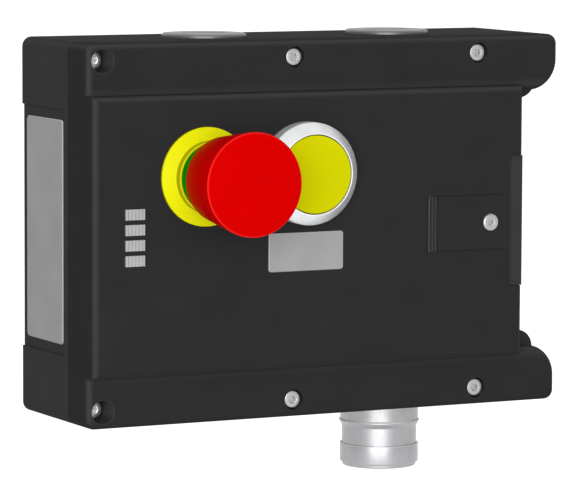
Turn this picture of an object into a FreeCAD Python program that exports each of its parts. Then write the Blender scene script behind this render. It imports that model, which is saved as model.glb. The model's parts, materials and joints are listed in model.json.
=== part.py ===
import FreeCAD, Part
import Sketcher
import os
import re

# Guard locking module, in millimetres.
# X runs to the right and Z up, seen from the front. Y runs back into the wall, and the rear face is at Y = 0.
# Depths are given as "forward", the distance from the wall towards the front, so forward = -Y.

# Sizes: name, value, what it is
SIZES = [
    ("body_width", 161.4, "overall width of the housing"),
    ("body_height", 115, "overall height of the housing"),
    ("base_depth", 33.7, "depth of the rear housing, wall to joint"),
    ("cover_depth", 14.3, "depth of the cover, joint to the screw strips"),
    ("panel_raise", 4.5, "how far the middle panel stands out of the strips"),
    ("wall", 3, "wall of both mouldings"),
    ("corner_round", 3, "rounding of the outer upright corners"),
    ("strip_edge_round", 2.4, "rounding of the strips' front edges"),
    ("panel_edge_round", 2.4, "rounding of the panel's front edges"),
    ("joint_round", 0.5, "rounding of the rear housing's front rim"),
    ("strip_height", 15.5, "top edge to the panel's top edge"),
    ("pocket_depth", 14.7, "how far the end pocket reaches in between the wings"),
    ("pocket_round", 1.5, "rounding in the pocket's inner corners"),
    ("base_wing_height", 20.65, "height of a wing of the rear housing"),
    ("base_wing_round", 5.5, "rounding of the rear housing's wing tips"),
    ("cover_wing_height", 17.4, "height of a wing of the cover"),
    ("cover_wing_round", 9.5, "rounding of the cover's wing tips"),
    ("press_gap", 0.03, "radial gap of a round piece fixed in its seat"),
    ("running_gap", 0.05, "radial gap of a shaft or bolt in its guide"),
    ("slide_gap", 0.2, "gap of a flat sliding piece"),
    ("free_gap", 0.4, "gap around pieces that pass each other"),
    ("screw_margin", 5.1, "left end to the left pair of cover screws"),
    ("screw_inset", 28.6, "right end to the right pair of cover screws"),
    ("screw_edge", 5.3, "top edge to the row of cover screws"),
    ("screw_radius", 1.5, "radius of all M3 shanks"),
    ("screw_hole_radius", 1.8, "clearance hole for a cover screw"),
    ("screw_head_radius", 2.95, "radius of a cover screw's head"),
    ("screw_head_height", 2.2, "height of a cover screw's head"),
    ("screw_seat_radius", 3.15, "counterbore of a cover screw"),
    ("screw_seat_depth", 3.1, "depth of a shallow counterbore"),
    ("deep_seat_radius", 3.65, "counterbore of the left pair of cover screws"),
    ("deep_seat_depth", 9, "depth of the left counterbores"),
    ("screw_post_radius", 4.3, "posts around the cover screws"),
    ("screw_bevel", 0.3, "bevel on screw tips and fine edges"),
    ("edge_bevel", 0.5, "bevel on the outer edges of turned pieces"),
    ("thread_bevel", 0.8, "bevel on the large threads and the lock bolt"),
    ("drive_radius", 1.3, "drive recess of a cover screw"),
    ("drive_depth", 1.2, "depth of that recess"),
    ("insert_radius", 2.3, "outer radius of a cover screw's insert"),
    ("insert_length", 7, "length of a cover screw's insert"),
    ("seal_inset", 0.9, "outer face of the walls to the cover seal"),
    ("seal_width", 1.2, "width of the cover seal"),
    ("seal_depth", 1.2, "depth of the cover seal's groove"),
    ("mount_margin_x", 18.7, "end to the mounting holes"),
    ("mount_margin_z", 14.5, "top edge to the mounting holes"),
    ("mount_thread_radius", 3, "bore of a mounting insert, M6"),
    ("mount_insert_radius", 4, "outer radius of a mounting insert"),
    ("mount_insert_length", 13, "length of a mounting insert"),
    ("mount_boss_radius", 6.3, "boss around a mounting insert"),
    ("port_left_margin", 51.7, "left end to the left entries"),
    ("port_right_margin", 46.2, "right end to the upper right entry"),
    ("connector_margin", 47.9, "right end to the connector's entry"),
    ("port_share", 0.6, "wall to the entries' axes, as a share of the joint's depth"),
    ("port_thread_radius", 10, "M20 entry thread"),
    ("port_boss_radius", 12.8, "boss behind each entry"),
    ("port_boss_length", 10, "outer face to the end of the entry boss"),
    ("plug_radius", 13, "radius of a plug's flange"),
    ("plug_flange", 1.1, "height of a plug's flange"),
    ("plug_shank", 9, "length of a plug's thread"),
    ("plug_slot", 2, "width of a plug's driver slot"),
    ("plug_slot_length", 15, "length of a plug's driver slot"),
    ("plug_slot_depth", 0.8, "depth of a plug's driver slot"),
    ("plug_seal_radius", 11.6, "outer radius of a plug's seal"),
    ("plug_seal_height", 0.5, "height of a plug's seal"),
    ("nameplate_margin", 23.7, "top edge to the nameplate's end"),
    ("nameplate_back", 3.1, "wall to the nameplate"),
    ("nameplate_front", 3.9, "joint to the nameplate"),
    ("nameplate_thickness", 0.5, "thickness of the nameplate"),
    ("nameplate_recess", 0.6, "depth of the nameplate's recess"),
    ("nameplate_recess_end", 3.3, "nameplate's end to the recess's end"),
    ("nameplate_round", 1.5, "rounding of the nameplate's corners"),
    ("label_margin", 57.75, "left end to the label plate"),
    ("label_width", 25.3, "width of the label plate"),
    ("label_top", -0.6, "Z of the label plate's top edge"),
    ("label_height", 11.7, "height of the label plate"),
    ("label_thickness", 0.8, "thickness of the label plate"),
    ("label_sunk", 0.4, "depth of the label plate's recess"),
    ("label_round", 0.9, "rounding of the label plate's corners"),
    ("lamp_margin", 10.25, "left end to the lamp windows"),
    ("lamp_width", 6.2, "width of a lamp window"),
    ("lamp_height", 3.2, "height of a lamp window"),
    ("lamp_pitch", 4.61, "distance from one lamp window to the next"),
    ("lamp_proud", 0.6, "how far a light pipe stands out"),
    ("lamp_flange", 0.55, "rim of a light pipe behind the panel"),
    ("lamp_flange_depth", 1.2, "depth of that rim"),
    ("lamp_length", 9.1, "length of a light pipe"),
    ("flute_pitch", 1.15, "distance between a light pipe's flutes"),
    ("flute_width", 0.4, "width of a flute"),
    ("flute_depth", 0.35, "depth of a flute"),
    ("lamp_board_thickness", 1.6, "thickness of the lamp board"),
    ("lamp_board_half_height", 21, "middle line to the lamp board's end"),
    ("lamp_board_margin", 2, "lamp board beyond the windows, each side"),
    ("lamp_screw_row", 17.5, "middle line to the lamp board's screws"),
    ("lamp_post_radius", 2.6, "post that carries the lamp board"),
    ("small_screw_radius", 1, "M2 shank"),
    ("small_head_radius", 1.9, "M2 head"),
    ("small_head_height", 1.3, "height of an M2 head"),
    ("small_screw_grip", 4, "thread of an M2 screw in its post"),
    ("estop_share", 0.272, "middle line to the emergency stop's axis, as a share of the width"),
    ("control_pitch", 33.35, "emergency stop to the pushbutton"),
    ("control_z", 17.4, "Z of both controls"),
    ("sleeve_radius", 11, "radius of a control's threaded sleeve"),
    ("sleeve_bore", 9.3, "bore of a control's sleeve"),
    ("sleeve_depth", 18.5, "panel face to the sleeve's rear end"),
    ("panel_seal_radius", 13.8, "outer radius of a control's panel seal"),
    ("panel_seal_thickness", 0.5, "thickness of a control's panel seal"),
    ("nut_radius", 15, "corner radius of a control's nut"),
    ("nut_height", 4, "height of a control's nut"),
    ("collar_radius", 14.9, "radius of the yellow collar"),
    ("collar_rim", 0.8, "height of the collar's outer rim"),
    ("collar_step_radius", 10.9, "radius of the collar's raised step"),
    ("collar_cone_height", 2.2, "panel face to the foot of the step"),
    ("collar_height", 4.8, "panel face to the top of the step"),
    ("collar_bevel", 0.35, "bevel on the step"),
    ("ring_outer_radius", 10.1, "radius of the green ring"),
    ("ring_inner_radius", 8, "bore of the green ring"),
    ("ring_seat", 2.5, "panel face to the green ring's seat"),
    ("ring_height", 2, "height of the green ring"),
    ("guide_top", 5.8, "panel face to the top of the stop's guide"),
    ("plunger_radius", 6, "radius of the stop's plunger"),
    ("plunger_rear", 16.5, "panel face to the plunger's rear end"),
    ("plunger_front", 26, "panel face to the plunger's front end"),
    ("stop_travel", 4, "travel of the emergency stop"),
    ("head_back", 12.6, "panel face to the head's back"),
    ("head_back_radius", 12.9, "radius of the head at its back"),
    ("head_length", 20.1, "length of the head"),
    ("head_radius", 15.6, "largest radius of the head"),
    ("head_shoulder", 0.9, "height of the head's rounded shoulder"),
    ("bezel_radius", 15.6, "radius of the pushbutton's bezel"),
    ("bezel_wall_height", 4, "height of the bezel's straight wall"),
    ("bezel_height", 7.2, "height of the bezel"),
    ("bezel_bore", 12.1, "bore of the bezel"),
    ("bezel_lip", 0.3, "width of the bezel's inner lip"),
    ("flange_radius", 14.8, "radius of the pushbutton's flange"),
    ("flange_top", 2.6, "panel face to the flange's top"),
    ("lens_radius", 11.8, "radius of the yellow lens"),
    ("lens_front", 7.2, "panel face to the lens's face"),
    ("press_travel", 3, "travel of the pushbutton"),
    ("cup_radius", 8.9, "radius of the pushbutton's plunger"),
    ("cup_bore", 6.6, "bore of that plunger"),
    ("cup_length", 15, "length of that plunger"),
    ("cup_floor", 3, "floor of that plunger"),
    ("button_spring_radius", 5.2, "middle radius of the pushbutton's spring"),
    ("button_wire_radius", 0.4, "wire of the pushbutton's spring"),
    ("button_spring_turns", 6, "turns of the pushbutton's spring"),
    ("contact_width", 24, "width and height of a contact block"),
    ("contact_back", 12, "wall to a contact block's back"),
    ("contact_bore", 7.2, "bore for the plunger in the stop's block"),
    ("cell_row", 8, "contact block's middle to its terminal cells"),
    ("cell_size", 5.5, "width and height of a terminal cell"),
    ("cell_depth", 6, "depth of a terminal cell"),
    ("block_length", 26, "pocket wall to the receptacle's left side"),
    ("block_proud", 0.1, "receptacle beyond the pocket wall"),
    ("block_half_height", 23, "middle line to the receptacle's top"),
    ("block_back", 14, "wall to the receptacle's back"),
    ("block_rise", 4.3, "joint to the receptacle's front"),
    ("notch_width", 5.1, "width of the notch in the panel's end"),
    ("notch_half_height", 20.5, "middle line to the notch's top"),
    ("step_sunk", 1.2, "panel face to the receptacle's step"),
    ("tongue_half_height", 15, "middle line to the tongue slot's top"),
    ("tongue_cover", 2, "receptacle's front to the tongue slot"),
    ("tongue_opening", 12, "depth of the tongue slot, front to back"),
    ("tongue_reach", 20, "pocket wall to the tongue slot's floor"),
    ("tongue_bevel", 1.2, "bevel of the tongue slot's mouth"),
    ("block_screw_inset", 6, "pocket wall to the receptacle's right screws"),
    ("block_screw_pitch", 15.5, "receptacle's screws, distance across"),
    ("block_screw_row", 19, "middle line to the receptacle's screws"),
    ("block_post_radius", 3.5, "posts under the receptacle"),
    ("cap_radius", 2.7, "head radius of an M3 cap screw"),
    ("cap_height", 2.4, "head height of an M3 cap screw"),
    ("cap_seat_radius", 3, "counterbore of an M3 cap screw"),
    ("cap_seat_depth", 2.8, "depth of that counterbore"),
    ("thread_reach", 7, "thread of a receptacle screw in its post"),
    ("bolt_inset", 15, "pocket wall to the lock bolt's axis"),
    ("bolt_radius", 4, "radius of the lock bolt"),
    ("bolt_rest", 0.2, "how far the drawn-back bolt stays below the slot"),
    ("lock_travel", 7.5, "travel of the lock bolt"),
    ("slider_thickness", 2.2, "thickness of the slider"),
    ("slider_reach", 10, "lock bolt's axis to the slider's left edge"),
    ("slider_width", 16, "width of the slider"),
    ("slider_top", 2.5, "Z of the slider's top edge"),
    ("slider_foot", 2.6, "height of the slider's foot"),
    ("slider_foot_width", 8, "width of the slider's foot"),
    ("slider_arm", 3, "height of the slider's arm"),
    ("coil_offset", 12, "receptacle to the solenoid's axis"),
    ("coil_sunk", 5, "receptacle's front to the solenoid's axis"),
    ("frame_width", 19, "width and depth of the solenoid's frame"),
    ("frame_top", -14.5, "Z of the solenoid frame's top"),
    ("frame_rise", 17, "bottom edge to the solenoid's frame"),
    ("frame_sheet", 2, "sheet of the solenoid's frame"),
    ("core_radius", 3.5, "radius of the solenoid's plunger"),
    ("core_length", 24, "length of the solenoid's plunger"),
    ("arm_top", -9, "Z of the slider arm's top"),
    ("spring_length", 12, "length of the return spring"),
    ("spring_radius", 3, "middle radius of the return spring"),
    ("spring_wire_radius", 0.35, "wire of the return spring"),
    ("spring_turns", 6, "turns of the return spring"),
    ("ear_height", 3, "height of the receptacle's spring ear"),
    ("ear_margin", 1.5, "spring's middle radius to the ear's edges"),
    ("rest_rib", 3, "width of the ribs under the solenoid"),
    ("rest_rib_inset", 1, "solenoid frame's side to the ribs' ends"),
    ("spindle_inset", 21.5, "pocket wall to the release spindle"),
    ("spindle_radius", 2.5, "radius of the release spindle"),
    ("spindle_head_radius", 4.2, "head of the release spindle"),
    ("spindle_head_height", 2.4, "height of that head"),
    ("spindle_slot", 1.4, "driver slot of that head"),
    ("spindle_seal_radius", 3.8, "outer radius of the spindle's seal"),
    ("spindle_seal_height", 1.2, "height of the spindle's seal"),
    ("crank_radius", 7.4, "radius of the crank disc"),
    ("crank_thickness", 2.4, "thickness of the crank disc"),
    ("crank_pin_radius", 1.5, "radius of the crank pin"),
    ("crank_gap", 0.6, "slider to the crank disc"),
    ("well_inset", 6.8, "pocket wall to the release well"),
    ("well_width", 27.6, "width of the release well"),
    ("well_half_height", 8.6, "middle line to the release well's top"),
    ("well_depth", 5.5, "panel face to the well's floor"),
    ("well_floor", 2.5, "thickness of the well's floor"),
    ("well_wall", 2.2, "walls around the well"),
    ("well_end_wall", 1.4, "wall between the well and the notch"),
    ("flap_gap", 0.12, "gap around the release flap"),
    ("flap_thickness", 2, "thickness of the release flap"),
    ("hinge_margin", 1.8, "well's left side to the flap's hinge"),
    ("hinge_sunk", 1.3, "panel face to the hinge's axis"),
    ("hinge_pin_radius", 0.6, "radius of the hinge pin"),
    ("hinge_pin_reach", 1.8, "hinge pin in each side wall"),
    ("rib_pitch", 1.05, "distance between the flap's grooves"),
    ("rib_groove", 0.35, "width and depth of the flap's grooves"),
    ("flap_screw_margin", 5.7, "well's right side to the flap's screw"),
    ("flap_head_radius", 2.7, "head radius of the flap's screw"),
    ("flap_head_height", 1.6, "head height of the flap's screw"),
    ("flap_screw_reach", 2.8, "flap's screw in its boss"),
    ("flap_screw_play", 0.5, "radial play of that screw in its boss"),
    ("flap_boss_radius", 3.4, "boss under the flap's screw"),
    ("reader_width", 13, "width of the read head"),
    ("reader_height", 14, "height of the read head"),
    ("reader_depth", 14, "depth of the read head"),
    ("reader_bottom", 9, "Z of the read head's bottom"),
    ("board_left_margin", 28.7, "left end to the main board"),
    ("board_right_margin", 63.7, "right end to the main board"),
    ("board_top_margin", 20.5, "top edge to the main board"),
    ("board_back", 7, "wall to the main board's back"),
    ("board_thickness", 1.6, "thickness of the main board"),
    ("board_margin", 4, "board edge to its screws"),
    ("board_post_radius", 2.8, "posts under the main board"),
    ("terminal_inset", 5.5, "main board's side edges to the terminal blocks"),
    ("terminal_height", 13, "height of a terminal block"),
    ("terminal_depth", 14, "depth of a terminal block"),
    ("terminal_gap", 6, "distance between the terminal blocks"),
    ("terminal_rise", 7, "main board's lower edge to the terminal blocks"),
    ("terminal_ways", 5, "wire entries of a terminal block"),
    ("terminal_entry", 1.3, "radius of a wire entry"),
    ("terminal_entry_depth", 7, "depth of a wire entry"),
    ("terminal_screw_depth", 3, "depth of a terminal's screw hole"),
    ("neck_radius", 12.3, "neck of the connector"),
    ("neck_length", 6.3, "housing to the connector's ring"),
    ("ring_radius", 12.7, "ring of the connector"),
    ("ring_length", 0.8, "straight part of the connector's ring"),
    ("waist_radius", 11.75, "waist of the connector"),
    ("waist_start", 8.6, "housing to the waist"),
    ("groove_depth", 0.35, "depth of the two grooves on the ring's taper"),
    ("groove_step", 0.4, "half the distance between those grooves"),
    ("cuff_radius", 12.35, "lower cuff of the connector"),
    ("cuff_start", 14.1, "housing to the cuff"),
    ("cuff_length", 6, "length of the cuff"),
    ("nose_radius", 11.6, "nose of the connector"),
    ("connector_length", 21.2, "housing to the connector's end"),
    ("shell_bore", 9.4, "bore of the connector's shell"),
    ("insert_sunk", 11, "connector's end to its insert"),
    ("contact_pin_radius", 0.5, "radius of a contact pin"),
    ("contact_pin_reach", 5.5, "pins in front of the insert"),
    ("contact_circle", 6.6, "radius of the outer ring of pins"),
    ("contact_count", 12, "pins in the outer ring"),
    ("inner_circle", 3.4, "radius of the inner ring of pins"),
    ("inner_count", 6, "pins in the inner ring"),
    ("locknut_radius", 12.2, "corner radius of the connector's nut"),
    ("locknut_height", 3, "height of the connector's nut"),
]

NAMES = {name for name, number, note in SIZES}
WORD = re.compile(r"[a-z_]+")

doc = FreeCAD.newDocument("guard_locking_module")
sheet = doc.addObject("Spreadsheet::Sheet", "Size")
for row, (name, number, note) in enumerate(SIZES, start=1):
    sheet.set(f"A{row}", name)
    sheet.set(f"B{row}", str(number))
    sheet.set(f"C{row}", note)
    sheet.setAlias(f"B{row}", name)
doc.recompute()

# Places that several pieces share
RIGHT = "(body_width/2)"
TOP = "(body_height/2)"
POCKET = "(body_width/2 - pocket_depth)"
PANEL_EDGE = "(body_height/2 - strip_height)"
BASE_WING = "(body_height/2 - base_wing_height)"
COVER_WING = "(body_height/2 - cover_wing_height)"
JOINT = "base_depth"
STRIP = "(base_depth + cover_depth)"
PANEL = "(base_depth + cover_depth + panel_raise)"
STRIP_INSIDE = "(base_depth + cover_depth - wall)"
PANEL_INSIDE = "(base_depth + cover_depth + panel_raise - wall)"
SLEEVE_END = f"({PANEL} - sleeve_depth)"
PORT_LEFT = "(port_left_margin - body_width/2)"
PORT_RIGHT = "(body_width/2 - port_right_margin)"
CONNECTOR_X = "(body_width/2 - connector_margin)"
PORT_FORWARD = "(base_depth*port_share)"
LAMP_LEFT = "(lamp_margin - body_width/2)"
LABEL_LEFT = "(label_margin - body_width/2)"
ESTOP_X = "(-body_width*estop_share)"
BUTTON_X = "(control_pitch - body_width*estop_share)"
BLOCK_LEFT = f"({POCKET} - block_length)"
BLOCK_FRONT = "(base_depth + block_rise)"
TONGUE_FRONT = f"({BLOCK_FRONT} - tongue_cover)"
TONGUE_BACK = f"({BLOCK_FRONT} - tongue_cover - tongue_opening)"
BOLT_X = f"({POCKET} - bolt_inset)"
BOLT_FORWARD = f"({BLOCK_FRONT} - tongue_cover - tongue_opening/2)"
SLIDER_LEFT = f"({BOLT_X} - slider_reach)"
COIL_X = f"({BLOCK_LEFT} - coil_offset)"
COIL_FORWARD = f"({BLOCK_FRONT} - coil_sunk)"
COIL_RADIUS = "(frame_width/2 - frame_sheet - slide_gap)"
FRAME_BOTTOM = "(frame_rise - body_height/2)"
SPINDLE_X = f"({POCKET} - spindle_inset)"
WELL_LEFT = f"({POCKET} - well_inset - well_width)"
WELL_RIGHT = f"({POCKET} - well_inset)"
HINGE_X = f"({WELL_LEFT} + hinge_margin)"
FLAP_SCREW_X = f"({WELL_RIGHT} - flap_screw_margin)"
BOARD_LEFT = "(board_left_margin - body_width/2)"
BOARD_RIGHT = "(body_width/2 - board_right_margin)"
BOARD_EDGE = "(body_height/2 - board_top_margin)"
TERMINAL_WIDTH = f"(({BOARD_RIGHT} - {BOARD_LEFT} - terminal_gap)/2 - terminal_inset)"
TERMINAL_BOTTOM = f"(terminal_rise - {BOARD_EDGE})"
TERMINAL_TOP = f"(terminal_rise + terminal_height - {BOARD_EDGE})"
WELL = f"({PANEL} - well_depth)"
WELL_UNDER = f"({PANEL} - well_depth - well_floor)"
LAMP_REAR = f"({PANEL} + lamp_proud - lamp_length)"
BLOCK_RIGHT = f"({POCKET} + block_proud)"
SLIDER_BACK = f"({BLOCK_FRONT} + slide_gap)"
SLIDER_FRONT = f"({BLOCK_FRONT} + slide_gap + slider_thickness)"
FOOT_TOP = "(-block_half_height - lock_travel - free_gap)"
CRANK_BACK = f"({SLIDER_FRONT} + crank_gap)"
CRANK_ARM = "(lock_travel/2/sin(45 deg))"
HINGE = f"({PANEL} - hinge_sunk)"
CONTACT_FRONT = SLEEVE_END

SCREW_COLUMNS = [
    "(screw_margin - body_width/2)",
    "((screw_margin - screw_inset)/2)",
    "(body_width/2 - screw_inset)",
]
BOTH_SIDES = ["", "-"]

# Entries: X and side, which is empty for the top face and a minus sign for the bottom
ENTRIES = [
    (PORT_LEFT, ""),
    (PORT_RIGHT, ""),
    (PORT_LEFT, "-"),
    (CONNECTOR_X, "-"),
]


def bound(text):
    """Returns an expression in which every size is read from the sheet."""
    def from_sheet(found):
        word = found.group()
        return "Size." + word if word in NAMES else word

    return WORD.sub(from_sheet, str(text))


def number_of(text):
    """Returns what an expression comes to."""
    answer = sheet.evalExpression(bound(text))
    return float(getattr(answer, "Value", answer))


def bind(thing, prop, text):
    """Ties one property of an object to an expression."""
    thing.setExpression(prop, bound(text))


def place(thing, x, forward, z):
    """Ties an object's place to three expressions."""
    bind(thing, "Placement.Base.x", x)
    bind(thing, "Placement.Base.y", f"-({forward})")
    bind(thing, "Placement.Base.z", z)


# Turns that bring an upright axis round to each direction
TURNS = {
    "x": FreeCAD.Rotation(FreeCAD.Vector(0, 1, 0), 90),
    "forward": FreeCAD.Rotation(FreeCAD.Vector(1, 0, 0), 90),
    "z": FreeCAD.Rotation(),
    "down": FreeCAD.Rotation(FreeCAD.Vector(1, 0, 0), 180),
}


def block(name, x, forward, z):
    """A block between two values along each axis."""
    shape = doc.addObject("Part::Box", name)
    bind(shape, "Length", f"({x[1]}) - ({x[0]})")
    bind(shape, "Width", f"({forward[1]}) - ({forward[0]})")
    bind(shape, "Height", f"({z[1]}) - ({z[0]})")
    place(shape, x[0], forward[1], z[0])
    return shape


def stand(shape, axis, centre, start, lay=FreeCAD.Rotation()):
    """Turns an upright shape to its axis and puts its foot at the start.

    lay is the turn that makes the shape upright first, if it isn't.
    """
    shape.Placement = FreeCAD.Placement(FreeCAD.Vector(0, 0, 0), TURNS[axis] * lay)
    if axis == "x":
        place(shape, start, centre[0], centre[1])
    elif axis == "forward":
        place(shape, centre[0], start, centre[1])
    else:
        place(shape, centre[0], centre[1], start)
    return shape


def rod(name, axis, centre, span, radius):
    """A round rod along an axis; centre gives its two other places, in the order X, forward, Z."""
    shape = doc.addObject("Part::Cylinder", name)
    bind(shape, "Radius", radius)
    bind(shape, "Height", f"({span[1]}) - ({span[0]})")
    return stand(shape, axis, centre, span[0])


def hexagon(name, axis, centre, span, radius):
    """A six-sided rod along an axis."""
    shape = doc.addObject("Part::Prism", name)
    shape.Polygon = 6
    bind(shape, "Circumradius", radius)
    bind(shape, "Height", f"({span[1]}) - ({span[0]})")
    return stand(shape, axis, centre, span[0])


def join(name, shapes):
    """All shapes as one."""
    shape = doc.addObject("Part::MultiFuse", name)
    shape.Shapes = shapes
    shape.Refine = True
    return shape


def group(name, shapes):
    """Separate solids kept together."""
    shape = doc.addObject("Part::Compound", name)
    shape.Links = shapes
    return shape


def cut(name, base, tools):
    """A shape without the tools' space."""
    shape = doc.addObject("Part::Cut", name)
    shape.Base = base
    shape.Tool = tools[0] if len(tools) == 1 else join(name + "_tools", tools)
    shape.Refine = True
    return shape


def tube(name, axis, centre, span, outer, inner):
    """A round tube along an axis."""
    solid = rod(name + "_outside", axis, centre, span, outer)
    bore = rod(name + "_bore", axis, centre, span, inner)
    return cut(name, solid, [bore])


def draw(sketch, corners):
    """Draws a closed outline whose corners are tied to expressions."""
    places = [(number_of(u), number_of(v)) for u, v in corners]
    count = len(corners)
    for index in range(count):
        start = FreeCAD.Vector(*places[index], 0)
        end = FreeCAD.Vector(*places[(index + 1) % count], 0)
        sketch.addGeometry(Part.LineSegment(start, end), False)
    for index in range(count):
        sketch.addConstraint(Sketcher.Constraint("Coincident", index, 2, (index + 1) % count, 1))
    for index, (u, v) in enumerate(corners):
        for kind, label, text, number in (
            ("DistanceX", f"across{index}", u, places[index][0]),
            ("DistanceY", f"along{index}", v, places[index][1]),
        ):
            rule = sketch.addConstraint(Sketcher.Constraint(kind, -1, 1, index, 1, number))
            sketch.renameConstraint(rule, label)
            sketch.setExpression(f"Constraints.{label}", bound(text))


def turned(name, axis, centre, start, outline):
    """A turned shape; each corner of the outline is a radius and a distance from the start along the axis."""
    sketch = doc.addObject("Sketcher::SketchObject", name + "_outline")
    draw(sketch, outline)
    shape = doc.addObject("Part::Revolution", name)
    shape.Source = sketch
    shape.Axis = FreeCAD.Vector(0, 1, 0)
    shape.Base = FreeCAD.Vector(0, 0, 0)
    shape.Angle = 360
    shape.Solid = True
    return stand(shape, axis, centre, start, FreeCAD.Rotation(FreeCAD.Vector(1, 0, 0), 90))


def edges_where(shape, test):
    """Names the edges whose two ends and middle all pass a test."""
    found = []
    for index, edge in enumerate(shape.Edges, start=1):
        middle = edge.valueAt((edge.FirstParameter + edge.LastParameter) / 2)
        points = [vertex.Point for vertex in edge.Vertexes] + [middle]
        if all(test(point) for point in points):
            found.append(index)
    return found


def near(one, other):
    """Says whether two places are the same."""
    return abs(one - other) < 0.001


def soften(name, base, test, radius, kind="Part::Fillet"):
    """Rounds or bevels the edges that pass a test."""
    doc.recompute()
    size = number_of(radius)
    shape = doc.addObject(kind, name)
    shape.Base = base
    shape.Edges = [(index, size, size) for index in edges_where(base.Shape, test)]
    return shape


def upright_corners(body, feature, name, places, radius):
    """Rounds the edges of a pad that run front to back at given places."""
    doc.recompute()
    spots = [(number_of(x), number_of(z)) for x, z in places]

    def at_spot(point):
        return any(near(point.x, x) and near(point.z, z) for x, z in spots)

    rounding = body.newObject("PartDesign::Fillet", name)
    rounding.Base = (feature, [f"Edge{index}" for index in edges_where(feature.Shape, at_spot)])
    bind(rounding, "Radius", radius)
    return rounding


def outline_slab(name, inset, wing_edge, wing_round, span, front_round=None):
    """A slab with the housing's outline, drawn in by an inset on every side.

    The outline is a rectangle whose right end has a pocket between two wings.
    """
    side = f"({RIGHT} - {inset})"
    top = f"({TOP} - {inset})"
    pocket = f"({POCKET} - {inset})"
    wing = f"({wing_edge} + {inset})"
    corners = [
        (f"-{side}", f"-{top}"),
        (side, f"-{top}"),
        (side, f"-{wing}"),
        (pocket, f"-{wing}"),
        (pocket, wing),
        (side, wing),
        (side, top),
        (f"-{side}", top),
    ]
    body = doc.addObject("PartDesign::Body", name)
    plane = [item for item in body.Origin.OriginFeatures if item.Role == "XZ_Plane"][0]
    sketch = body.newObject("Sketcher::SketchObject", name + "_outline")
    sketch.AttachmentSupport = [(plane, "")]
    sketch.MapMode = "FlatFace"
    bind(sketch, "AttachmentOffset.Base.z", span[0])
    draw(sketch, corners)
    pad = body.newObject("PartDesign::Pad", name + "_pad")
    pad.Profile = sketch
    bind(pad, "Length", f"({span[1]}) - ({span[0]})")
    outer = [corners[0], corners[1], corners[6], corners[7]]
    tips = [corners[2], corners[5]]
    inner = [corners[3], corners[4]]
    last = upright_corners(body, pad, name + "_corners", outer, f"max(corner_round - {inset}; 0.3)")
    last = upright_corners(body, last, name + "_tips", tips, f"max({wing_round} - {inset}; 0.3)")
    last = upright_corners(body, last, name + "_pocket", inner, f"pocket_round + {inset}")
    if front_round:
        doc.recompute()
        front = -number_of(span[1])
        rim = edges_where(last.Shape, lambda point: near(point.y, front))
        rounding = body.newObject("PartDesign::Fillet", name + "_rim")
        rounding.Base = (last, [f"Edge{index}" for index in rim])
        bind(rounding, "Radius", front_round)
    return body


def coil(name, axis, centre, start, length, radius, wire, turns):
    """A coil spring: a wire swept along a helix."""
    reach = number_of(length) - 2 * number_of(wire)
    helix = Part.makeHelix(reach / number_of(turns), reach, number_of(radius))
    across = FreeCAD.Vector(number_of(radius), 0, 0)
    section = Part.Wire(Part.Edge(Part.Circle(across, FreeCAD.Vector(0, 1, 0), number_of(wire))))
    sweep = Part.BRepOffsetAPI.MakePipeShell(Part.Wire(helix.Edges))
    sweep.setFrenetMode(True)
    sweep.add(section)
    sweep.build()
    sweep.makeSolid()
    spring = doc.addObject("Part::Feature", name)
    spring.Shape = sweep.shape()
    return stand(spring, axis, centre, f"({start}) + {wire}")


# Housing


def screw_places():
    """Yields each cover screw's X, Z and whether it sits deep."""
    for column, x in enumerate(SCREW_COLUMNS):
        for side in BOTH_SIDES:
            yield x, f"{side}(body_height/2 - screw_edge)", column == 0


def mount_places():
    """Yields each mounting hole's X and Z."""
    for across in BOTH_SIDES:
        for up in BOTH_SIDES:
            yield f"{across}(body_width/2 - mount_margin_x)", f"{up}(body_height/2 - mount_margin_z)"


def block_screw_places():
    """Yields each receptacle screw's X and Z."""
    for x in (f"({POCKET} - block_screw_inset - block_screw_pitch)", f"({POCKET} - block_screw_inset)"):
        for side in BOTH_SIDES:
            yield x, f"{side}block_screw_row"


def board_screw_places():
    """Yields each main board screw's X and Z."""
    for x in (f"({BOARD_LEFT} + board_margin)", f"({BOARD_RIGHT} - board_margin)"):
        for side in BOTH_SIDES:
            yield x, f"{side}({BOARD_EDGE} - board_margin)"


def lamp_screw_places():
    """Yields each lamp board screw's X and Z."""
    for side in BOTH_SIDES:
        yield f"({LAMP_LEFT} + lamp_width/2)", f"{side}lamp_screw_row"


def port_span(side, near_end, far_end):
    """Returns a span along Z measured inwards from the top or bottom face."""
    if side:
        return f"-({TOP} - ({near_end}))", f"-({TOP} - ({far_end}))"
    return f"{TOP} - ({far_end})", f"{TOP} - ({near_end})"


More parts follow.
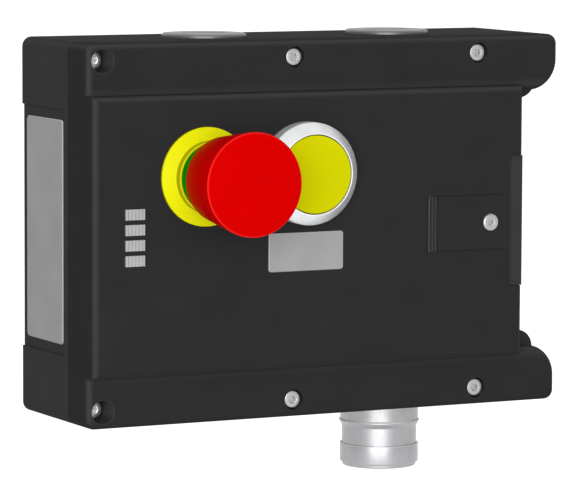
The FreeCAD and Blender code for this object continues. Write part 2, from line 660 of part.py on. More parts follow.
def rear_housing():
    """The moulded tub that goes on the wall."""
    outside = outline_slab("base_outside", "0", BASE_WING, "base_wing_round", ("0", JOINT), "joint_round")
    inside = outline_slab("base_inside", "wall", COVER_WING, "cover_wing_round", ("wall", f"{JOINT} + 1"))
    shell = cut("base_shell", outside, [inside])
    solids = [shell]
    holes = []
    for index, (x, z, deep) in enumerate(screw_places()):
        solids.append(rod(f"base_post_{index}", "forward", (x, z), ("wall/2", JOINT), "screw_post_radius"))
        seat = (f"{JOINT} - insert_length", f"{JOINT} + 1")
        holes.append(rod(f"base_post_bore_{index}", "forward", (x, z), seat, "insert_radius"))
        reach = (f"{JOINT} - insert_length - 3", f"{JOINT} - insert_length + 1")
        holes.append(rod(f"base_post_relief_{index}", "forward", (x, z), reach, "screw_hole_radius"))
    for index, (x, z) in enumerate(mount_places()):
        boss = ("wall/2", "mount_insert_length + wall")
        solids.append(rod(f"mount_boss_{index}", "forward", (x, z), boss, "mount_boss_radius"))
        bore = ("-1", "mount_insert_length")
        holes.append(rod(f"mount_bore_{index}", "forward", (x, z), bore, "mount_insert_radius"))
    for index, (x, side) in enumerate(ENTRIES):
        boss = port_span(side, "wall/2", "port_boss_length")
        centre = (x, PORT_FORWARD)
        solids.append(rod(f"port_boss_{index}", "z", centre, boss, "port_boss_radius"))
        bore = port_span(side, "-1", "port_boss_length + 1")
        holes.append(rod(f"port_bore_{index}", "z", centre, bore, "port_thread_radius"))
    for index, (x, z) in enumerate(block_screw_places()):
        post = ("wall/2", "block_back")
        solids.append(rod(f"block_post_{index}", "forward", (x, z), post, "block_post_radius"))
        bore = ("block_back - thread_reach", "block_back + 1")
        holes.append(rod(f"block_post_bore_{index}", "forward", (x, z), bore, "screw_radius + press_gap"))
    for index, (x, z) in enumerate(board_screw_places()):
        post = ("wall/2", "board_back")
        solids.append(rod(f"board_post_{index}", "forward", (x, z), post, "board_post_radius"))
        bore = ("board_back - small_screw_grip", "board_back + 1")
        thread = "small_screw_radius + press_gap"
        holes.append(rod(f"board_post_bore_{index}", "forward", (x, z), bore, thread))
    rib_x = (f"{COIL_X} - frame_width/2 + rest_rib_inset", f"{COIL_X} + frame_width/2 - rest_rib_inset")
    rib_forward = ("wall/2", f"{COIL_FORWARD} - frame_width/2")
    upper = ("frame_top - frame_sheet - rest_rib", "frame_top - frame_sheet")
    lower = (f"{FRAME_BOTTOM} + frame_sheet", f"{FRAME_BOTTOM} + frame_sheet + rest_rib")
    solids.append(block("solenoid_rib_upper", rib_x, rib_forward, upper))
    solids.append(block("solenoid_rib_lower", rib_x, rib_forward, lower))
    groove_span = (f"{JOINT} - seal_depth", f"{JOINT} + 1")
    outer = outline_slab("groove_outer", "seal_inset", COVER_WING, "cover_wing_round", groove_span)
    seal_inner = "(seal_inset + seal_width)"
    inner = outline_slab("groove_inner", seal_inner, COVER_WING, "cover_wing_round", groove_span)
    holes.append(cut("groove", outer, [inner]))
    window = ("-(block_half_height + slide_gap)", "block_half_height + slide_gap")
    window_forward = ("block_back - slide_gap", f"{JOINT} + 1")
    holes.append(block("base_window", (f"{POCKET} - wall - 1", f"{POCKET} + 1"), window_forward, window))
    recess_end = f"({TOP} - nameplate_margin + nameplate_recess_end)"
    recess_z = (f"-{recess_end}", recess_end)
    recess_forward = ("-1", f"{JOINT} - nameplate_front + 1")
    recess_x = (f"-{RIGHT} - 1", f"-{RIGHT} + nameplate_recess")
    holes.append(block("nameplate_recess", recess_x, recess_forward, recess_z))
    return cut("rear_housing", join("base_solids", solids), holes)


def front_cover():
    """The moulded cover, with its raised panel, screw strips, windows and release well."""
    slab = outline_slab(
        "cover_slab", "0", COVER_WING, "cover_wing_round", (JOINT, STRIP), "strip_edge_round"
    )
    panel_z = (f"-{PANEL_EDGE}", PANEL_EDGE)
    panel = block("panel_block", (f"-{RIGHT}", POCKET), (f"{JOINT} + wall", PANEL), panel_z)
    front = -number_of(PANEL)
    panel = soften("panel_rounded", panel, lambda point: near(point.y, front), "panel_edge_round")
    outside = join("cover_outside", [slab, panel])
    inside = (f"{JOINT} - 1", STRIP_INSIDE)
    hollow = outline_slab("cover_hollow", "wall", COVER_WING, "cover_wing_round", inside)
    panel_hollow = block(
        "panel_hollow",
        (f"-{RIGHT} + wall", f"{POCKET} - wall"),
        (f"{JOINT} - 1", PANEL_INSIDE),
        (f"-({PANEL_EDGE} - wall)", f"{PANEL_EDGE} - wall"),
    )
    shell = cut("cover_shell", outside, [hollow, panel_hollow])
    solids = [shell]
    holes = []
    for index, (x, z, deep) in enumerate(screw_places()):
        post = (JOINT, f"{STRIP} - wall/2")
        solids.append(rod(f"cover_post_{index}", "forward", (x, z), post, "screw_post_radius"))
        through = (f"{JOINT} - 1", f"{STRIP} + 1")
        holes.append(rod(f"cover_screw_hole_{index}", "forward", (x, z), through, "screw_hole_radius"))
        depth = "deep_seat_depth" if deep else "screw_seat_depth"
        radius = "deep_seat_radius" if deep else "screw_seat_radius"
        seat = (f"{STRIP} - {depth}", f"{STRIP} + 1")
        holes.append(rod(f"cover_screw_seat_{index}", "forward", (x, z), seat, radius))
    for control, x in (("estop", ESTOP_X), ("button", BUTTON_X)):
        through = (f"{PANEL_INSIDE} - 1", f"{PANEL} + 1")
        radius = "sleeve_radius + slide_gap"
        holes.append(rod(control + "_panel_hole", "forward", (x, "control_z"), through, radius))
    for index, (x, z) in enumerate(lamp_screw_places()):
        post = (LAMP_REAR, f"{PANEL_INSIDE} + wall/2")
        solids.append(rod(f"lamp_post_{index}", "forward", (x, z), post, "lamp_post_radius"))
        bore = (f"{LAMP_REAR} - 1", f"{LAMP_REAR} + small_screw_grip")
        thread = "small_screw_radius + press_gap"
        holes.append(rod(f"lamp_post_bore_{index}", "forward", (x, z), bore, thread))
    for index in range(4):
        low, high = lamp_span(index)
        window = block(
            f"lamp_window_{index}",
            (f"{LAMP_LEFT} - slide_gap/2", f"{LAMP_LEFT} + lamp_width + slide_gap/2"),
            (f"{PANEL_INSIDE} - 1", f"{PANEL} + 1"),
            (f"{low} - slide_gap/2", f"{high} + slide_gap/2"),
        )
        holes.append(window)
    well_x = (f"{WELL_LEFT} - well_wall", f"{WELL_RIGHT} + well_end_wall")
    well_z = ("-(well_half_height + well_wall)", "well_half_height + well_wall")
    tub = block("well_tub", well_x, (WELL_UNDER, f"{PANEL} - wall/2"), well_z)
    cavity_z = ("-well_half_height", "well_half_height")
    cavity = block("well_cavity", (WELL_LEFT, WELL_RIGHT), (WELL, f"{PANEL} + 1"), cavity_z)
    notch_x = (f"{POCKET} - notch_width", f"{POCKET} + 1")
    notch_z = ("-notch_half_height", "notch_half_height")
    notch = block("cover_notch", notch_x, (f"{JOINT} - 1", f"{PANEL} + 1"), notch_z)
    window_x = (f"{POCKET} - wall - 1", f"{POCKET} + 1")
    window_z = ("-(block_half_height + slide_gap)", "block_half_height + slide_gap")
    window = block("cover_window", window_x, (f"{JOINT} - 1", f"{BLOCK_FRONT} + slide_gap"), window_z)
    pin_z = ("-(well_half_height + hinge_pin_reach)", "well_half_height + hinge_pin_reach")
    pin_bore = rod("hinge_bore", "z", (HINGE_X, HINGE), pin_z, "hinge_pin_radius + press_gap")
    shaft = (f"{WELL_UNDER} - 1", f"{WELL} + 1")
    shaft_bore = rod("spindle_bore", "forward", (SPINDLE_X, "0"), shaft, "spindle_radius + running_gap")
    groove = (f"{WELL} - spindle_seal_height", f"{WELL} + 1")
    seat_radius = "spindle_seal_radius + press_gap"
    shaft_groove = rod("spindle_groove", "forward", (SPINDLE_X, "0"), groove, seat_radius)
    boss_top = f"{PANEL} - flap_thickness - flap_gap"
    boss_span = (f"{WELL} - well_floor/2", boss_top)
    boss = rod("flap_boss", "forward", (FLAP_SCREW_X, "0"), boss_span, "flap_boss_radius")
    play = "screw_radius + flap_screw_play"
    bore_span = (f"{WELL} - 1", f"{boss_top} + 1")
    boss_bore = rod("flap_boss_bore", "forward", (FLAP_SCREW_X, "0"), bore_span, play)
    label = block(
        "label_recess",
        (f"{LABEL_LEFT} - slide_gap/2", f"{LABEL_LEFT} + label_width + slide_gap/2"),
        (f"{PANEL} - label_sunk", f"{PANEL} + 1"),
        ("label_top - label_height - slide_gap/2", "label_top + slide_gap/2"),
    )
    holes += [notch, window, label]
    body = cut("cover_body", join("cover_solids", solids + [tub]), holes + [cavity])
    bores = [boss_bore, pin_bore, shaft_bore, shaft_groove]
    return cut("front_cover", join("cover_with_boss", [body, boss]), bores)


def cover_seal():
    """The soft seal in the joint, open where the receptacle passes."""
    span = (f"{JOINT} - seal_depth", JOINT)
    outer_inset = "(seal_inset + press_gap)"
    inner_inset = "(seal_inset + seal_width - press_gap)"
    outer = outline_slab("seal_outer", outer_inset, COVER_WING, "cover_wing_round", span)
    inner = outline_slab("seal_inner", inner_inset, COVER_WING, "cover_wing_round", span)
    window = ("-(block_half_height + slide_gap)", "block_half_height + slide_gap")
    passage_x = (f"{POCKET} - wall - 1", f"{POCKET} + 1")
    passage = block("seal_passage", passage_x, (f"{JOINT} - 3", f"{JOINT} + 1"), window)
    return cut("cover_seal", outer, [inner, passage])


def pan_screw(name, centre, seat, reach, shank, head, height, drive, depth, axis="forward"):
    """A pan-head screw whose head rests on the seat."""
    outline = [
        ("0", f"-({reach})"),
        (f"{shank} - screw_bevel", f"-({reach})"),
        (shank, f"-({reach}) + screw_bevel"),
        (shank, "0"),
        (head, "0"),
        (head, f"({height})*0.55"),
        (f"({head})*0.8", f"({height})*0.9"),
        (f"({head})*0.5", height),
        ("0", height),
    ]
    solid = turned(name + "_solid", axis, centre, seat, outline)
    recess = (f"{seat} + {height} - {depth}", f"{seat} + {height} + 1")
    socket = hexagon(name + "_socket", axis, centre, recess, drive)
    return cut(name, solid, [socket])


def cover_screws():
    """The six screws that hold the cover."""
    screws = []
    for index, (x, z, deep) in enumerate(screw_places()):
        depth = "deep_seat_depth" if deep else "screw_seat_depth"
        seat = f"({STRIP} - {depth})"
        reach = f"{seat} - {JOINT} + insert_length"
        sizes = ("screw_radius", "screw_head_radius", "screw_head_height", "drive_radius", "drive_depth")
        screws.append(pan_screw(f"cover_screw_{index}", (x, z), seat, reach, *sizes))
    return group("cover_screws", screws)


def cover_screw_inserts():
    """The brass inserts that take the cover screws."""
    inserts = []
    for index, (x, z, deep) in enumerate(screw_places()):
        span = (f"{JOINT} - insert_length", JOINT)
        outer = "insert_radius - press_gap"
        inner = "screw_radius + press_gap"
        inserts.append(tube(f"cover_insert_{index}", "forward", (x, z), span, outer, inner))
    return group("cover_screw_inserts", inserts)


def mounting_inserts():
    """The four threaded inserts in the rear face."""
    inserts = []
    for index, (x, z) in enumerate(mount_places()):
        outer = "mount_insert_radius - press_gap"
        span = ("0", "mount_insert_length")
        inserts.append(tube(f"mount_insert_{index}", "forward", (x, z), span, outer, "mount_thread_radius"))
    return group("mounting_inserts", inserts)


def plate(name, x, forward, z, rounding, thin_axis):
    """A thin plate with rounded corners."""
    solid = block(name + "_blank", x, forward, z)
    doc.recompute()
    box = solid.Shape.BoundBox
    low = getattr(box, thin_axis + "Min")
    high = getattr(box, thin_axis + "Max")
    letter = thin_axis.lower()

    def across(edge):
        ends = sorted(getattr(vertex.Point, letter) for vertex in edge.Vertexes)
        return near(ends[0], low) and near(ends[-1], high)

    size = number_of(rounding)
    shape = doc.addObject("Part::Fillet", name)
    shape.Base = solid
    edges = enumerate(solid.Shape.Edges, start=1)
    shape.Edges = [(index, size, size) for index, edge in edges if across(edge)]
    return shape


def nameplate():
    """The bare plate on the left side."""
    x = (f"-{RIGHT} + nameplate_recess - nameplate_thickness", f"-{RIGHT} + nameplate_recess")
    forward = ("nameplate_back", f"{JOINT} - nameplate_front")
    end = f"({TOP} - nameplate_margin)"
    return plate("nameplate", x, forward, (f"-{end}", end), "nameplate_round", "X")


def label_plate():
    """The bare label plate on the panel."""
    x = (LABEL_LEFT, f"{LABEL_LEFT} + label_width")
    forward = (f"{PANEL} - label_sunk", f"{PANEL} - label_sunk + label_thickness")
    return plate("label_plate", x, forward, ("label_top - label_height", "label_top"), "label_round", "Y")


# Lamps


def lamp_span(index):
    """Returns the lowest and highest Z of one lamp window, counted from the top."""
    middle = f"(1.5 - {index})*lamp_pitch"
    return f"({middle} - lamp_height/2)", f"({middle} + lamp_height/2)"


def light_pipe(index):
    """One clear light pipe with upright flutes on its face."""
    low, high = lamp_span(index)
    x = (LAMP_LEFT, f"{LAMP_LEFT} + lamp_width")
    name = f"light_pipe_{index + 1}"
    stem = block(name + "_stem", x, (LAMP_REAR, f"{PANEL} + lamp_proud"), (low, high))
    rim = block(
        name + "_rim",
        (f"{LAMP_LEFT} - lamp_flange", f"{LAMP_LEFT} + lamp_width + lamp_flange"),
        (f"{PANEL_INSIDE} - lamp_flange_depth", PANEL_INSIDE),
        (f"{low} - lamp_flange", f"{high} + lamp_flange"),
    )
    flutes = []
    for step in range(5):
        middle = f"({LAMP_LEFT} + lamp_width/2 + ({step} - 2)*flute_pitch)"
        flute = block(
            f"{name}_flute_{step}",
            (f"{middle} - flute_width/2", f"{middle} + flute_width/2"),
            (f"{PANEL} + lamp_proud - flute_depth", f"{PANEL} + lamp_proud + 1"),
            (f"{low} - 1", f"{high} + 1"),
        )
        flutes.append(flute)
    return cut(name, join(name + "_solid", [stem, rim]), flutes)


def lamp_board():
    """The board behind the light pipes, with one lamp for each."""
    x = (f"{LAMP_LEFT} - lamp_board_margin", f"{LAMP_LEFT} + lamp_width + lamp_board_margin")
    forward = (f"{LAMP_REAR} - lamp_board_thickness", LAMP_REAR)
    board = block("lamp_board_blank", x, forward, ("-lamp_board_half_height", "lamp_board_half_height"))
    holes = []
    for index, (x, z) in enumerate(lamp_screw_places()):
        span = (f"{LAMP_REAR} - lamp_board_thickness - 1", f"{LAMP_REAR} + 1")
        radius = "small_screw_radius + slide_gap"
        holes.append(rod(f"lamp_board_hole_{index}", "forward", (x, z), span, radius))
    return cut("indicator_board", board, holes)


def rear_screw(name, x, z, seat, reach):
    """A small screw put in from behind, head towards the wall."""
    shank = rod(name + "_shank", "forward", (x, z), (seat, f"{seat} + {reach}"), "small_screw_radius")
    head = rod(name + "_head", "forward", (x, z), (f"{seat} - small_head_height", seat), "small_head_radius")
    return join(name, [shank, head])


def lamp_board_screws():
    """The two screws that hold the lamp board on its posts."""
    seat = f"({LAMP_REAR} - lamp_board_thickness)"
    reach = "lamp_board_thickness + small_screw_grip - free_gap"
    screws = []
    for index, (x, z) in enumerate(lamp_screw_places()):
        screws.append(rear_screw(f"lamp_screw_{index}", x, z, seat, reach))
    return group("indicator_board_screws", screws)


# Entries


def plug(name, x, side):
    """A screwed plug in an entry."""
    axis = "down" if side else "z"
    outline = [
        ("0", "-plug_shank"),
        ("port_thread_radius - press_gap - thread_bevel", "-plug_shank"),
        ("port_thread_radius - press_gap", "-plug_shank + thread_bevel"),
        ("port_thread_radius - press_gap", "plug_seal_height"),
        ("plug_seal_radius + press_gap", "plug_seal_height"),
        ("plug_seal_radius + press_gap", "0"),
        ("plug_radius", "0"),
        ("plug_radius", "plug_flange - edge_bevel"),
        ("plug_radius - edge_bevel", "plug_flange"),
        ("0", "plug_flange"),
    ]
    solid = turned(name + "_solid", axis, (x, PORT_FORWARD), f"{side}{TOP}", outline)
    low = f"-({TOP} + plug_flange + 1)" if side else f"{TOP} + plug_flange - plug_slot_depth"
    high = f"-({TOP} + plug_flange - plug_slot_depth)" if side else f"{TOP} + plug_flange + 1"
    slot_x = (f"{x} - plug_slot_length/2", f"{x} + plug_slot_length/2")
    slot_forward = (f"{PORT_FORWARD} - plug_slot/2", f"{PORT_FORWARD} + plug_slot/2")
    slot = block(name + "_slot", slot_x, slot_forward, (low, high))
    return cut(name, solid, [slot])


def plug_seals():
    """The flat seals under the three plugs."""
    seals = []
    for name, x, side in PLUGS:
        span = (f"-({TOP} + plug_seal_height)", f"-{TOP}") if side else (TOP, f"{TOP} + plug_seal_height")
        centre = (x, PORT_FORWARD)
        bore = "port_thread_radius"
        seals.append(tube(f"{name}_seal", "z", centre, span, "plug_seal_radius", bore))
    return group("plug_seals", seals)


PLUGS = [
    ("plug_top_left", PORT_LEFT, ""),
    ("plug_top_right", PORT_RIGHT, ""),
    ("plug_bottom_left", PORT_LEFT, "-"),
]


# Emergency stop


ESTOP = (ESTOP_X, "control_z")


def estop_collar():
    """The yellow collar and its threaded sleeve, one moulding."""
    outline = [
        ("sleeve_bore", "-sleeve_depth"),
        ("sleeve_radius", "-sleeve_depth"),
        ("sleeve_radius", "panel_seal_thickness"),
        ("panel_seal_radius + press_gap", "panel_seal_thickness"),
        ("panel_seal_radius + press_gap", "0"),
        ("collar_radius", "0"),
        ("collar_radius", "collar_rim"),
        ("collar_step_radius", "collar_cone_height"),
        ("collar_step_radius", "collar_height - collar_bevel"),
        ("collar_step_radius - collar_bevel", "collar_height"),
        ("ring_outer_radius + slide_gap", "collar_height"),
        ("ring_outer_radius + slide_gap", "ring_seat"),
        ("sleeve_bore", "ring_seat"),
    ]
    return turned("estop_collar", "forward", ESTOP, PANEL, outline)


def estop_body():
    """The guide tube that carries the stop's plunger."""
    outline = [
        ("plunger_radius + running_gap", "-sleeve_depth"),
        ("sleeve_bore - press_gap", "-sleeve_depth"),
        ("sleeve_bore - press_gap", "ring_seat - slide_gap"),
        ("ring_inner_radius - press_gap", "ring_seat - slide_gap"),
        ("ring_inner_radius - press_gap", "guide_top"),
        ("plunger_radius + running_gap", "guide_top"),
    ]
    return turned("estop_body", "forward", ESTOP, PANEL, outline)


def panel_seal(name, x):
    """The flat seal between a control and the panel."""
    span = (PANEL, f"{PANEL} + panel_seal_thickness")
    inner = "sleeve_radius + press_gap"
    return tube(name, "forward", (x, "control_z"), span, "panel_seal_radius", inner)


def control_nut(name, x):
    """The nut that clamps a control against the inside of the panel."""
    span = (f"{PANEL_INSIDE} - nut_height", PANEL_INSIDE)
    blank = hexagon(name + "_blank", "forward", (x, "control_z"), span, "nut_radius")
    bore = rod(name + "_bore", "forward", (x, "control_z"), span, "sleeve_radius + press_gap")
    return cut(name, blank, [bore])


def estop_ring():
    """The green ring that shows when the stop is out."""
    span = (f"{PANEL} + ring_seat", f"{PANEL} + ring_seat + ring_height")
    return tube("estop_indicator_ring", "forward", ESTOP, span, "ring_outer_radius", "ring_inner_radius")


def estop_plunger():
    """The plunger that the head drives."""
    span = (f"{PANEL} - plunger_rear", f"{PANEL} + plunger_front")
    return rod("estop_plunger", "forward", ESTOP, span, "plunger_radius")


def estop_head():
    """The red head: a cone that widens to a rounded face."""
    outline = [
        ("0", "0"),
        ("head_back_radius - edge_bevel", "0"),
        ("head_back_radius", "edge_bevel"),
        ("head_radius", "head_length - head_shoulder"),
        ("head_radius - head_shoulder*0.29", "head_length - head_shoulder*0.29"),
        ("head_radius - head_shoulder", "head_length"),
        ("0", "head_length"),
    ]
    solid = turned("head_solid", "forward", ESTOP, f"({PANEL} + head_back)", outline)
    span = (f"{PANEL} + head_back - 1", f"{PANEL} + plunger_front + slide_gap")
    bore = rod("head_bore", "forward", ESTOP, span, "plunger_radius + running_gap")
    return cut("estop_head", solid, [bore])


def contact_block(name, x, back, bore):
    """The switching block behind a control, with a lead-in for the plunger and rows of terminals."""
    half = "contact_width/2"
    wide = (f"{x} - {half}", f"{x} + {half}")
    high = (f"control_z - {half}", f"control_z + {half}")
    solid = block(name + "_blank", wide, (back, CONTACT_FRONT), high)
    tools = []
    if bore:
        depth = f"{PANEL} - plunger_rear - stop_travel - free_gap"
        tools.append(rod(name + "_bore", "forward", (x, "control_z"), (depth, f"{CONTACT_FRONT} + 1"), bore))
    cell_depth = (f"{back} - 1", f"{back} + cell_depth")
    for across in "-+":
        for up in "-+":
            middle_x = f"({x} {across} cell_row)"
            middle_z = f"(control_z {up} {half})"
            cell_x = (f"{middle_x} - cell_size/2", f"{middle_x} + cell_size/2")
            cell_z = (f"{middle_z} - cell_size/2", f"{middle_z} + cell_size/2")
            tools.append(block(f"{name}_cell_{len(tools)}", cell_x, cell_depth, cell_z))
    return cut(name, solid, tools)


# Pushbutton


BUTTON = (BUTTON_X, "control_z")
LENS_BACK = "(flange_top + press_travel + slide_gap)"


def button_bezel():
    """The bright bezel around the lens."""
    outline = [
        ("flange_radius + press_gap", "0"),
        ("bezel_radius", "0"),
        ("bezel_radius", "bezel_wall_height"),
        ("bezel_bore + bezel_lip", "bezel_height"),
        ("bezel_bore", "bezel_height"),
        ("bezel_bore", "flange_top"),
        ("flange_radius + press_gap", "flange_top"),
    ]
    return turned("button_bezel", "forward", BUTTON, PANEL, outline)


def button_body():
    """The flanged sleeve that carries the pushbutton."""
    outline = [
        ("sleeve_bore", "-sleeve_depth"),
        ("sleeve_radius", "-sleeve_depth"),
        ("sleeve_radius", "panel_seal_thickness"),
        ("flange_radius", "panel_seal_thickness"),
        ("flange_radius", "flange_top"),
        ("sleeve_bore", "flange_top"),
    ]
    return turned("button_body", "forward", BUTTON, PANEL, outline)


def button_lens():
    """The yellow lens."""
    outline = [
        ("0", LENS_BACK),
        ("lens_radius", LENS_BACK),
        ("lens_radius", "lens_front - screw_bevel"),
        ("lens_radius - screw_bevel", "lens_front"),
        ("0", "lens_front"),
    ]
    return turned("button_lens", "forward", BUTTON, PANEL, outline)


def button_plunger():
    """The cup that carries the lens and holds the spring."""
    outline = [
        ("0", LENS_BACK),
        ("cup_radius", LENS_BACK),
        ("cup_radius", f"{LENS_BACK} - cup_length"),
        ("cup_bore", f"{LENS_BACK} - cup_length"),
        ("cup_bore", f"{LENS_BACK} - cup_floor"),
        ("0", f"{LENS_BACK} - cup_floor"),
    ]
    return turned("button_plunger", "forward", BUTTON, PANEL, outline)


def button_spring():
    """The spring that brings the pushbutton back."""
    length = f"({PANEL} + {LENS_BACK} - cup_floor - {CONTACT_FRONT})"
    return coil(
        "button_spring", "forward", BUTTON, CONTACT_FRONT, length,
        "button_spring_radius", "button_wire_radius", "button_spring_turns",
    )


# Bolt receptacle, lock and release


def bolt_receptacle():
    """The block that takes the tongue, with the bolt's guide, the spring's ear and the step in the notch."""
    high = ("-block_half_height", "block_half_height")
    body = block("receptacle_body", (BLOCK_LEFT, BLOCK_RIGHT), ("block_back", BLOCK_FRONT), high)
    step_x = (f"{POCKET} - notch_width + free_gap/2", BLOCK_RIGHT)
    step_z = ("-(notch_half_height - free_gap/2)", "notch_half_height - free_gap/2")
    step = block("receptacle_step", step_x, (f"{BLOCK_FRONT} - 1", f"{PANEL} - step_sunk"), step_z)
    ear_x = (f"{COIL_X} - spring_radius - ear_margin", f"{BLOCK_LEFT} + 1")
    ear_z = ("arm_top + spring_length", "arm_top + spring_length + ear_height")
    ear_forward = (f"{COIL_FORWARD} - spring_radius - ear_margin", BLOCK_FRONT)
    ear = block("receptacle_ear", ear_x, ear_forward, ear_z)
    solid = join("receptacle_solid", [body, step, ear])
    slot_z = ("-tongue_half_height", "tongue_half_height")
    slot_x = (f"{POCKET} - tongue_reach", f"{BLOCK_RIGHT} + 1")
    slot = block("tongue_slot", slot_x, (TONGUE_BACK, TONGUE_FRONT), slot_z)
    guide = rod(
        "bolt_guide", "z", (BOLT_X, BOLT_FORWARD),
        ("-block_half_height - 1", "-tongue_half_height + 1"), "bolt_radius + running_gap",
    )
    holes = [slot, guide]
    for index, (x, z) in enumerate(block_screw_places()):
        through = ("block_back - 1", f"{BLOCK_FRONT} + 1")
        holes.append(rod(f"block_screw_hole_{index}", "forward", (x, z), through, "screw_hole_radius"))
        seat = (f"{BLOCK_FRONT} - cap_seat_depth", f"{BLOCK_FRONT} + 1")
        holes.append(rod(f"block_screw_seat_{index}", "forward", (x, z), seat, "cap_seat_radius"))
    body = cut("receptacle_cut", solid, holes)
    doc.recompute()
    right = number_of(BLOCK_RIGHT)
    back = number_of(TONGUE_BACK) - 0.1
    front = number_of(TONGUE_FRONT) + 0.1
    reach = number_of("tongue_half_height") + 0.1

    def at_mouth(point):
        return near(point.x, right) and back < -point.y < front and abs(point.z) < reach

    return soften("bolt_receptacle", body, at_mouth, "tongue_bevel", "Part::Chamfer")


def receptacle_screws():
    """The four screws that hold the receptacle on its posts."""
    screws = []
    seat = f"({BLOCK_FRONT} - cap_seat_depth)"
    reach = f"{BLOCK_FRONT} - cap_seat_depth - block_back + thread_reach - free_gap"
    for index, (x, z) in enumerate(block_screw_places()):
        sizes = ("screw_radius", "cap_radius", "cap_height", "drive_radius", "drive_depth")
        screws.append(pan_screw(f"receptacle_screw_{index}", (x, z), seat, reach, *sizes))
    return group("receptacle_screws", screws)


def lock_bolt():
    """The round bolt that locks the tongue."""
    outline = [
        ("0", "0"),
        ("bolt_radius", "0"),
        ("bolt_radius", f"-tongue_half_height - bolt_rest - thread_bevel - {FOOT_TOP}"),
        ("bolt_radius - thread_bevel", f"-tongue_half_height - bolt_rest - {FOOT_TOP}"),
        ("0", f"-tongue_half_height - bolt_rest - {FOOT_TOP}"),
    ]
    return turned("lock_bolt", "z", (BOLT_X, BOLT_FORWARD), FOOT_TOP, outline)


def lock_slider():
    """The folded slider: a plate with the crank's slot, a foot under the bolt and an arm to the solenoid."""
    flat = (SLIDER_BACK, SLIDER_FRONT)
    foot_bottom = f"{FOOT_TOP} - slider_foot"
    web_x = (SLIDER_LEFT, f"{SLIDER_LEFT} + slider_width")
    web = block("slider_web", web_x, flat, (foot_bottom, "slider_top"))
    foot_x = (f"{BOLT_X} - slider_foot_width/2", f"{BOLT_X} + slider_foot_width/2")
    foot_forward = (f"{BOLT_FORWARD} - bolt_radius", SLIDER_FRONT)
    foot = block("slider_foot", foot_x, foot_forward, (foot_bottom, FOOT_TOP))
    arm_z = ("arm_top - slider_arm", "arm_top")
    arm = block("slider_arm", (f"{COIL_X} - core_radius", f"{SLIDER_LEFT} + 1"), flat, arm_z)
    lug_x = (f"{COIL_X} - core_radius", f"{COIL_X} + core_radius")
    lug = block("slider_lug", lug_x, (f"{COIL_FORWARD} - core_radius", SLIDER_FRONT), arm_z)
    middle = "-lock_travel/2"
    pin_left = f"{SPINDLE_X} + {CRANK_ARM}*cos(45 deg) - crank_pin_radius - slide_gap*2"
    pin_right = f"{SPINDLE_X} + {CRANK_ARM} + crank_pin_radius + slide_gap*2"
    slot_z = (f"{middle} - crank_pin_radius - slide_gap", f"{middle} + crank_pin_radius + slide_gap")
    slot = block("slider_slot", (pin_left, pin_right), (f"{SLIDER_BACK} - 1", f"{SLIDER_FRONT} + 1"), slot_z)
    return cut("lock_slider", join("slider_solid", [web, foot, arm, lug]), [slot])


COIL = (COIL_X, COIL_FORWARD)


def solenoid_frame():
    """The folded steel frame around the coil, open at its two sides."""
    half = "frame_width/2"
    x = (f"{COIL_X} - {half}", f"{COIL_X} + {half}")
    forward = (f"{COIL_FORWARD} - {half}", f"{COIL_FORWARD} + {half}")
    solid = block("frame_solid", x, forward, (FRAME_BOTTOM, "frame_top"))
    inside = block(
        "frame_inside",
        (f"{COIL_X} - {half} - 1", f"{COIL_X} + {half} + 1"),
        (f"{COIL_FORWARD} - {half} + frame_sheet", f"{COIL_FORWARD} + {half} - frame_sheet"),
        (f"{FRAME_BOTTOM} + frame_sheet", "frame_top - frame_sheet"),
    )
    through = (f"{FRAME_BOTTOM} - 1", "frame_top + 1")
    passage = rod("frame_passage", "z", COIL, through, "core_radius + free_gap")
    return cut("solenoid_frame", solid, [inside, passage])


def solenoid_coil():
    """The wound coil."""
    span = (f"{FRAME_BOTTOM} + frame_sheet", "frame_top - frame_sheet")
    return tube("solenoid_coil", "z", COIL, span, COIL_RADIUS, "core_radius + free_gap")


def solenoid_plunger():
    """The solenoid's plunger, under the slider's lug."""
    top = "arm_top - slider_arm"
    return rod("solenoid_plunger", "z", COIL, (f"{top} - core_length", top), "core_radius")


def return_spring():
    """The spring that draws the bolt back."""
    sizes = ("spring_length", "spring_radius", "spring_wire_radius", "spring_turns")
    return coil("return_spring", "z", COIL, "arm_top", *sizes)


def release_spindle():
    """The spindle of the auxiliary release, with a driver slot."""
    shaft_span = (f"{CRANK_BACK} + crank_thickness", f"{WELL} + 1")
    shaft = rod("spindle_shaft", "forward", (SPINDLE_X, "0"), shaft_span, "spindle_radius")
    head_span = (f"{WELL} + slide_gap", f"{WELL} + slide_gap + spindle_head_height")
    head = rod("spindle_head", "forward", (SPINDLE_X, "0"), head_span, "spindle_head_radius")
    slot_x = (f"{SPINDLE_X} - spindle_head_radius - 1", f"{SPINDLE_X} + spindle_head_radius + 1")
    head_top = f"{WELL} + slide_gap + spindle_head_height"
    slot_forward = (f"{head_top} - spindle_head_height/2", f"{head_top} + 1")
    slot = block("spindle_cut", slot_x, slot_forward, ("-spindle_slot/2", "spindle_slot/2"))
    return cut("release_spindle", join("spindle_solid", [shaft, head]), [slot])


def release_crank():
    """The crank disc behind the well, whose pin moves the slider."""
    span = (CRANK_BACK, f"{CRANK_BACK} + crank_thickness")
    disc = rod("crank_disc", "forward", (SPINDLE_X, "0"), span, "crank_radius")
    pin_x = f"{SPINDLE_X} + {CRANK_ARM}*cos(45 deg)"
    pin_span = (f"{SLIDER_BACK} + slide_gap", f"{CRANK_BACK} + 1")
    pin = rod("crank_pin", "forward", (pin_x, "-lock_travel/2"), pin_span, "crank_pin_radius")
    return join("release_crank", [disc, pin])


